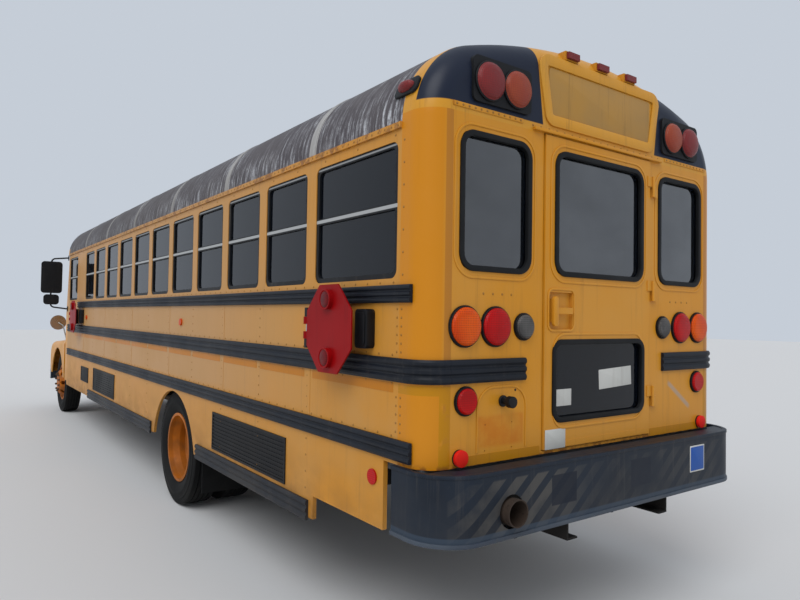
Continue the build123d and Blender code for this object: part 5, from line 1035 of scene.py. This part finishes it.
# %% Rims, domes and corner lamps
LAMP_Z = 1.644
AMBER_Y = 0.993
RED_Y = 0.797
WARNING_Z = 2.808
WARNING_AMBER_Y = 0.679
WARNING_RED_Y = 0.863
FRONT_LENS_X = 3.9265
LAMP_SPOTS = ((AMBER_Y, LAMP_Z, 0.089), (RED_Y, LAMP_Z, 0.089), (0.604, LAMP_Z, 0.060),
              (0.983, 1.300, 0.060))


def rim(radius, wall, place, thick):
    """Flattened ring round a lamp."""
    return lay(started(bpy.ops.mesh.primitive_torus_add, (1, 1, 0.8), major_radius=radius,
                       minor_radius=thick, major_segments=40, minor_segments=8), wall, place)


def dome(radius, rise, wall, place, squat=1.0):
    """Half a ball, flattened to the given rise and closed underneath."""
    ball = started(bpy.ops.mesh.primitive_uv_sphere_add, (radius, radius * squat, rise),
                   segments=24, ring_count=12, radius=1)
    return lay(cut(ball, (0, 0, 0), (0, 0, 1), clear_inner=True), wall, place)


rims = [rim(radius + 0.003, "rear", (WALL_X - 0.011, side * y, z), 0.004)
        for y, z, radius in LAMP_SPOTS for side in (1, -1)]
reflectors = [plate_on("rear", (WALL_X - 0.0075, side * 1.019, 1.044), 0.078, 0.078, 0.0385, 0.020,
                       steps=8) for side in (1, -1)]
rims += [rim(0.091, "rear", (WALL_X - 0.020, side * y, WARNING_Z), 0.006)
         for y in (WARNING_AMBER_Y, WARNING_RED_Y) for side in (1, -1)]
dress(rims, "lamp_rims", black_plastic, "bus", smooth=60)
reflector_red = painted("reflector_red", (222, 22, 8), (214, 40, 20), GRIME, BARE, bump=0.03,
                        Fading=0.3, Streaks=0.2, Chips=0.1, Gloss=0.6)
dress(reflectors, "low_reflectors", reflector_red, "bus")

for name, lens, slot_name, high_y, low_y in (
    ("lamp_domes_red", red_lens, "lens_red", WARNING_RED_Y, RED_Y),
    ("lamp_domes_amber", amber_lens, "lens_amber", WARNING_AMBER_Y, AMBER_Y),
):
    domes = [dome(0.084, 0.022, wall, (face_x, side * high_y, WARNING_Z))
             for wall, face_x in (("rear", WALL_X - 0.0315), ("front", FRONT_LENS_X))
             for side in (1, -1)]
    domes += [dome(0.083, 0.010, "rear", (WALL_X - 0.0255, side * low_y, LAMP_Z))
              for side in (1, -1)]
    dress(domes, name, lens, "bus", smooth=60)

LEAN = math.radians(21.8)
bases, lenses = [], []
for side, word in BOTH:
    wall = word + " slope"
    WALLS[wall] = Matrix.Rotation(side * LEAN, 3, "X") @ WALLS[word]
    spot = Vector((st(198), side * 1.186, 2.762))
    out = WALLS[wall] @ Vector((0, 0, 1))
    bases.append(plate_on(wall, spot, 0.174, 0.090, 0.030, 0.014))
    lenses.append(dome(0.058, 0.032, wall, spot + out * 0.013, squat=0.030 / 0.058))
dress(bases, "corner_lamp_bases", black_plastic, "bus")
dress(lenses, "corner_lamp_lenses", red_lens, "bus", smooth=60)
print("lamps,", len(rims), "rims")

# %% [markdown]
# ## Door recess, knob and number plate place
# The rear door's handle lies in a rounded recess with a raised lip. Left of the door the sheet
# is pressed into an arch round the place for a number plate, with a lamp knob above it. A bent
# tube would stand too proud for the arch, so it is a low ring with round corners whose lower
# half is cut away.

# %% Recess lip, arch and knob
lip = plate_on("rear", (DOOR_X, 0.331, 1.732), 0.215, 0.226, 0.040, 0.005, inner=0.011)
grip = plate_on("rear", (DOOR_X - 0.002, 0.392, 1.724), 0.036, 0.154, 0.016, 0.020)
dress([lip, grip], "door_recess_lip", rear_paint, "rear_door")

arch = rounded_plate(0.336, 0.640, 0.110, 0.004, inner=0.010, steps=8)
cut(arch, (0, 0.012, 0), (0, 1, 0), clear_inner=True)
lay(arch, "rear", (WALL_X, 0.744, 1.041))
dress(arch, "plate_arch", rear_paint, "bus")

KNOB_STEPS = ((0.028, 0.012, 0.006), (0.015, 0.044, 0.022), (0.028, 0.034, 0.058))
knob = joined([started(bpy.ops.mesh.primitive_cylinder_add, vertices=20, radius=radius,
                       depth=depth, location=(0, 0, out)) for radius, depth, out in KNOB_STEPS])
modified(knob, "BEVEL", width=0.004, segments=3, limit_method="ANGLE")
bolt = rivets("rear", (WALL_X, 0.655, 1.335), 1, (0, 0, 0))
dress([lay(knob, "rear", (WALL_X, 0.743, 1.287)), bolt], "plate_lamp_knob", black_plastic, "bus")
print("knob of", len(KNOB_STEPS), "steps")

# %% [markdown]
# ## Blank plate and stickers
# The number plate hangs a little crooked behind the lower pane. It and every sticker are blank:
# plain sheets with their own colour and some dirt. They could be colour on the pane, but a thin
# sheet has an edge and a gloss of its own. Each is turned in its own plane before it is laid,
# so that it stays flat on the pane.

# %% Blank sheets
def sheet(place, width, tall, crooked=0.0):
    """Thin blank sheet on the rear, turned in its own plane."""
    return lay(turned(rounded_plate(width, tall, 0.004, 0.0012), -crooked), "rear", place)


PANE_X = st(8.2)
STICKER = (-0.737, 0.870)
paper = painted("paper", (206, 206, 202), (184, 184, 178), GRIME, (150, 146, 138), bump=0.03,
                Fading=0.6, Streaks=0.25, Chips=0.4, Road_Dirt=0.1, Gloss=0.4)
blue_paper = painted("blue_paper", (20, 74, 158), (46, 96, 164), ROAD, (160, 166, 172), bump=0.03,
                     Fading=0.5, Streaks=0.1, Chips=0.4, Road_Dirt=0.1, Gloss=0.35)
sheets = [sheet((PANE_X, -0.156, 1.362), 0.296, 0.108, crooked=3),
          sheet((PANE_X, 0.297, 1.275), 0.144, 0.087),
          sheet((st(-11.4), 0.372, 1.070), 0.156, 0.100)]
dress(sheets, "blank_sheets_door", paper, "rear_door")
dress(sheet((st(-150), *STICKER), 0.156, 0.154), "blank_sticker_border", paper, "bus")
dress(sheet((st(-151.2), *STICKER), 0.140, 0.138), "blank_sticker_face", blue_paper, "bus")
print("blank sheets,", len(sheets), "on the door")

# %% [markdown]
# ## Bumper edges
# The bumper is pressed steel with rolled edges. An edge could be a tube along the bumper's
# path, but its section is flat. So each edge is a long ring with round corners, cut off where
# the bumper's wings end.

# %% Rolled edges of the rear bumper
BUMPER_RADIUS = 0.23
BUMPER_WIDE = 2.5
BUMPER_X = st(-150)
RING_LONG = 1.2
WING_END = -0.243


def bumper_edge(low_z, thick, lap):
    """Three sides of a ring that follow the bumper's face."""
    ring = rounded_plate(RING_LONG, BUMPER_WIDE + 2 * lap, BUMPER_RADIUS + lap, thick,
                         inner=0.022 + lap, steps=12)
    cut(ring, (WING_END, 0, 0), (1, 0, 0), clear_outer=True)
    return lay(ring, "top", (BUMPER_X - lap + RING_LONG / 2, 0, low_z))


edge_paint = painted("edge_paint", (52, 62, 76), (74, 84, 96), ROAD, RUST,
                     Fading=0.8, Streaks=0.3, Chips=0.7, Road_Dirt=0.4, Gloss=0.35)
dress(bumper_edge(0.688, 0.020, 0.007), "bumper_foot", edge_paint, "bus")
dress(bumper_edge(0.984, 0.018, 0.004), "bumper_bead", bumper_paint, "bus")
print("bumper edged, corners of", BUMPER_RADIUS)

# %% [markdown]
# ## Stop arms
# Each arm is driven by a small motor in a box behind the sign and hangs on a bracket at its
# front edge. Its two lamps have rims and domed lenses. The sign swings and the box doesn't, so
# rims and lenses are pieces of their own that ride on the arm.

# %% Motor boxes, brackets and pods
ARM_Z = 1.623
ARM_TALL = 0.194
SIGN_Z = 1.617
dark_lens = lens_finish("dark_lens", (84, 4, 8), (112, 10, 14))
for word, pin in (("rear", 934), ("front", 8330)):
    motor = (st(pin - 479), BODY_HALF, ARM_Z)
    lid = (st(pin - 479), BODY_HALF + 0.050, ARM_Z)
    bracket = (st(pin + 93), BODY_HALF, ARM_Z)
    box_parts = [plate_on("left", motor, 0.110, ARM_TALL, 0.022, 0.050),
                 plate_on("left", lid, 0.084, 0.160, 0.020, 0.006),
                 plate_on("left", bracket, 0.046, ARM_TALL, 0.006, 0.020)]
    dress(box_parts, "stop_arm_motor_" + word, black_plastic, "bus")
    hinge = plate_on("left", (st(pin + 130), BODY_HALF, ARM_Z), 0.028, ARM_TALL, 0.004, 0.024)
    dress(hinge, "stop_arm_hinge_" + word, bright_metal, "bus")
    body = "stop_arm_" + word
    middle = st(pin - 250.5)
    pod_heights = (SIGN_Z + 0.15, SIGN_Z - 0.15)
    pods = [rim(0.050, "left", (middle, 1.345, z), 0.004) for z in pod_heights]
    dress(pods, "pod_rims_" + word, sign_paint, body, smooth=60)
    glow = [dome(0.043, 0.010, "left", (middle, 1.343, z)) for z in pod_heights]
    dress(glow, "pod_lenses_" + word, dark_lens, body, smooth=60)
print("stop arms dressed")

# %% [markdown]
# ## Windscreen, entry doors and headlamps
# The windscreen's two panes sit in rubber like the rear ones, on a wall that leans back. Each
# piece could be leaned by itself, but leaning the wall once keeps them all in one plane. Two
# wipers rest along its foot. The four door panes have the same rubber, and each headlamp has a
# bright rim.

# %% Front and entry details
RAKE = math.atan2(0.180, 0.950)
WALLS["screen"] = Matrix.Rotation(-RAKE, 3, "Y") @ WALLS["front"]
SCREEN_MIDDLE = Vector((3.955 - 0.475 * math.tan(RAKE), 0, 2.125))
rings = [gasket(1.030, 0.824, "screen", SCREEN_MIDDLE + Vector((0, side * 0.545, 0)), radius=0.055)
         for side in (1, -1)]
dress(rings, "gaskets_windscreen", seal_rubber, "bus")

WIPER_BARS = ((0.42, 0.014, 68, 0.022, -0.080, 0.10), (0.50, 0.010, 82, 0.010, -0.160, 0.24))
wipers = []
for y_foot in (0.62, -0.42):
    for long, wide, degrees, over, y_move, rise in WIPER_BARS:
        bar = turned(rounded_plate(long, wide, 0.004, 0.010), degrees)
        along = WALLS["screen"] @ Vector((y_foot + y_move, rise - 0.400, over))
        wipers.append(lay(bar, "screen", SCREEN_MIDDLE + along))
dress(wipers, "wipers", black_plastic, "bus")

for body, low_x, edge in (("entry_rear", 2.893, 0.307), ("entry_front", 3.260, -0.030)):
    seals = [gasket(0.277, tall, "right", (low_x + 0.1385, -1.2265, middle), radius=0.036)
             for tall, middle in ((0.990, 1.895), (0.690, 0.985))]
    seals.append(strip("right", (low_x + edge, -1.228, 1.447), 0.022, 2.020, 0.004))
    dress(seals, "gaskets_" + body, seal_rubber, body)

HEADLAMP = 0.930
rims = [rim(0.098, "front", (5.450, side * HEADLAMP, HEADLAMP), 0.008) for side in (1, -1)]
dress(rims, "headlamp_rims", bright_metal, "hood", smooth=60)
bulges = [dome(0.090, 0.022, "front", (5.449, side * HEADLAMP, HEADLAMP)) for side in (1, -1)]
dress(bulges, "headlamp_domes", clear_lens, "hood", smooth=60)
print("front dressed,", len(wipers), "wiper bars")

# %% [markdown]
# ## Benches
# The benches are foam under vinyl. A cloth simulation could lay the cover over the foam, but on
# short firm blocks the cover only follows the foam. So a box is crowned with a subdivision
# surface, and its back leans. One bench is made, then twenty copies.

# %% Padded benches
def cushion(size, centre, lean=0.0):
    """Crowned pad: a box, held near its edges and smoothed."""
    piece = started(bpy.ops.mesh.primitive_cube_add, size, size=1, location=centre)
    modified(piece, "BEVEL", width=min(size) * 0.28, segments=2)
    modified(piece, "SUBSURF", levels=1, render_levels=1)
    for vertex in piece.data.vertices:
        vertex.co.x -= lean * (vertex.co.z - centre[2]) / size[2]
    return piece


SEAT_Y = 0.676
SEAT_WIDE = 0.966
FIRST_SEAT = 0.640
SEAT_PITCH = 0.7335
SEAT_DEEP = 0.560
LAST_SEAT_END = 8.210
bench = joined([
    cushion((0.395, SEAT_WIDE, 0.125), (0.275, 0, 1.368)),
    cushion((0.085, SEAT_WIDE, 0.700), (0.078, 0, 1.662), lean=0.055),
])
stations = [FIRST_SEAT + SEAT_PITCH * index for index in range(11)]
places = [(REAR + rear, side * SEAT_Y, 0) for side in (1, -1) for rear in stations
          if rear + SEAT_DEEP < LAST_SEAT_END]
made = copies(bench, places)
bpy.data.objects.remove(bench)
benches = dress(made, "bench_pads", seat_vinyl, "bus", smooth=60)
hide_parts("seats")

DRIVER_Y = 0.640
driver_parts = [
    cushion((0.46, 0.49, 0.13), (st(8745), DRIVER_Y, 1.375)),
    cushion((0.10, 0.47, 0.66), (st(8545), DRIVER_Y, 1.745), lean=0.04),
]
driver_pad = dress(driver_parts, "driver_pads", seat_vinyl, "bus", smooth=60)
pedestal = cushion((0.22, 0.28, 0.32), (st(8730), DRIVER_Y, 1.160))
dress(pedestal, "driver_pedestal", chassis_paint_and_shade, "bus")
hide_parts("driver_seat")
print("benches", len(places))
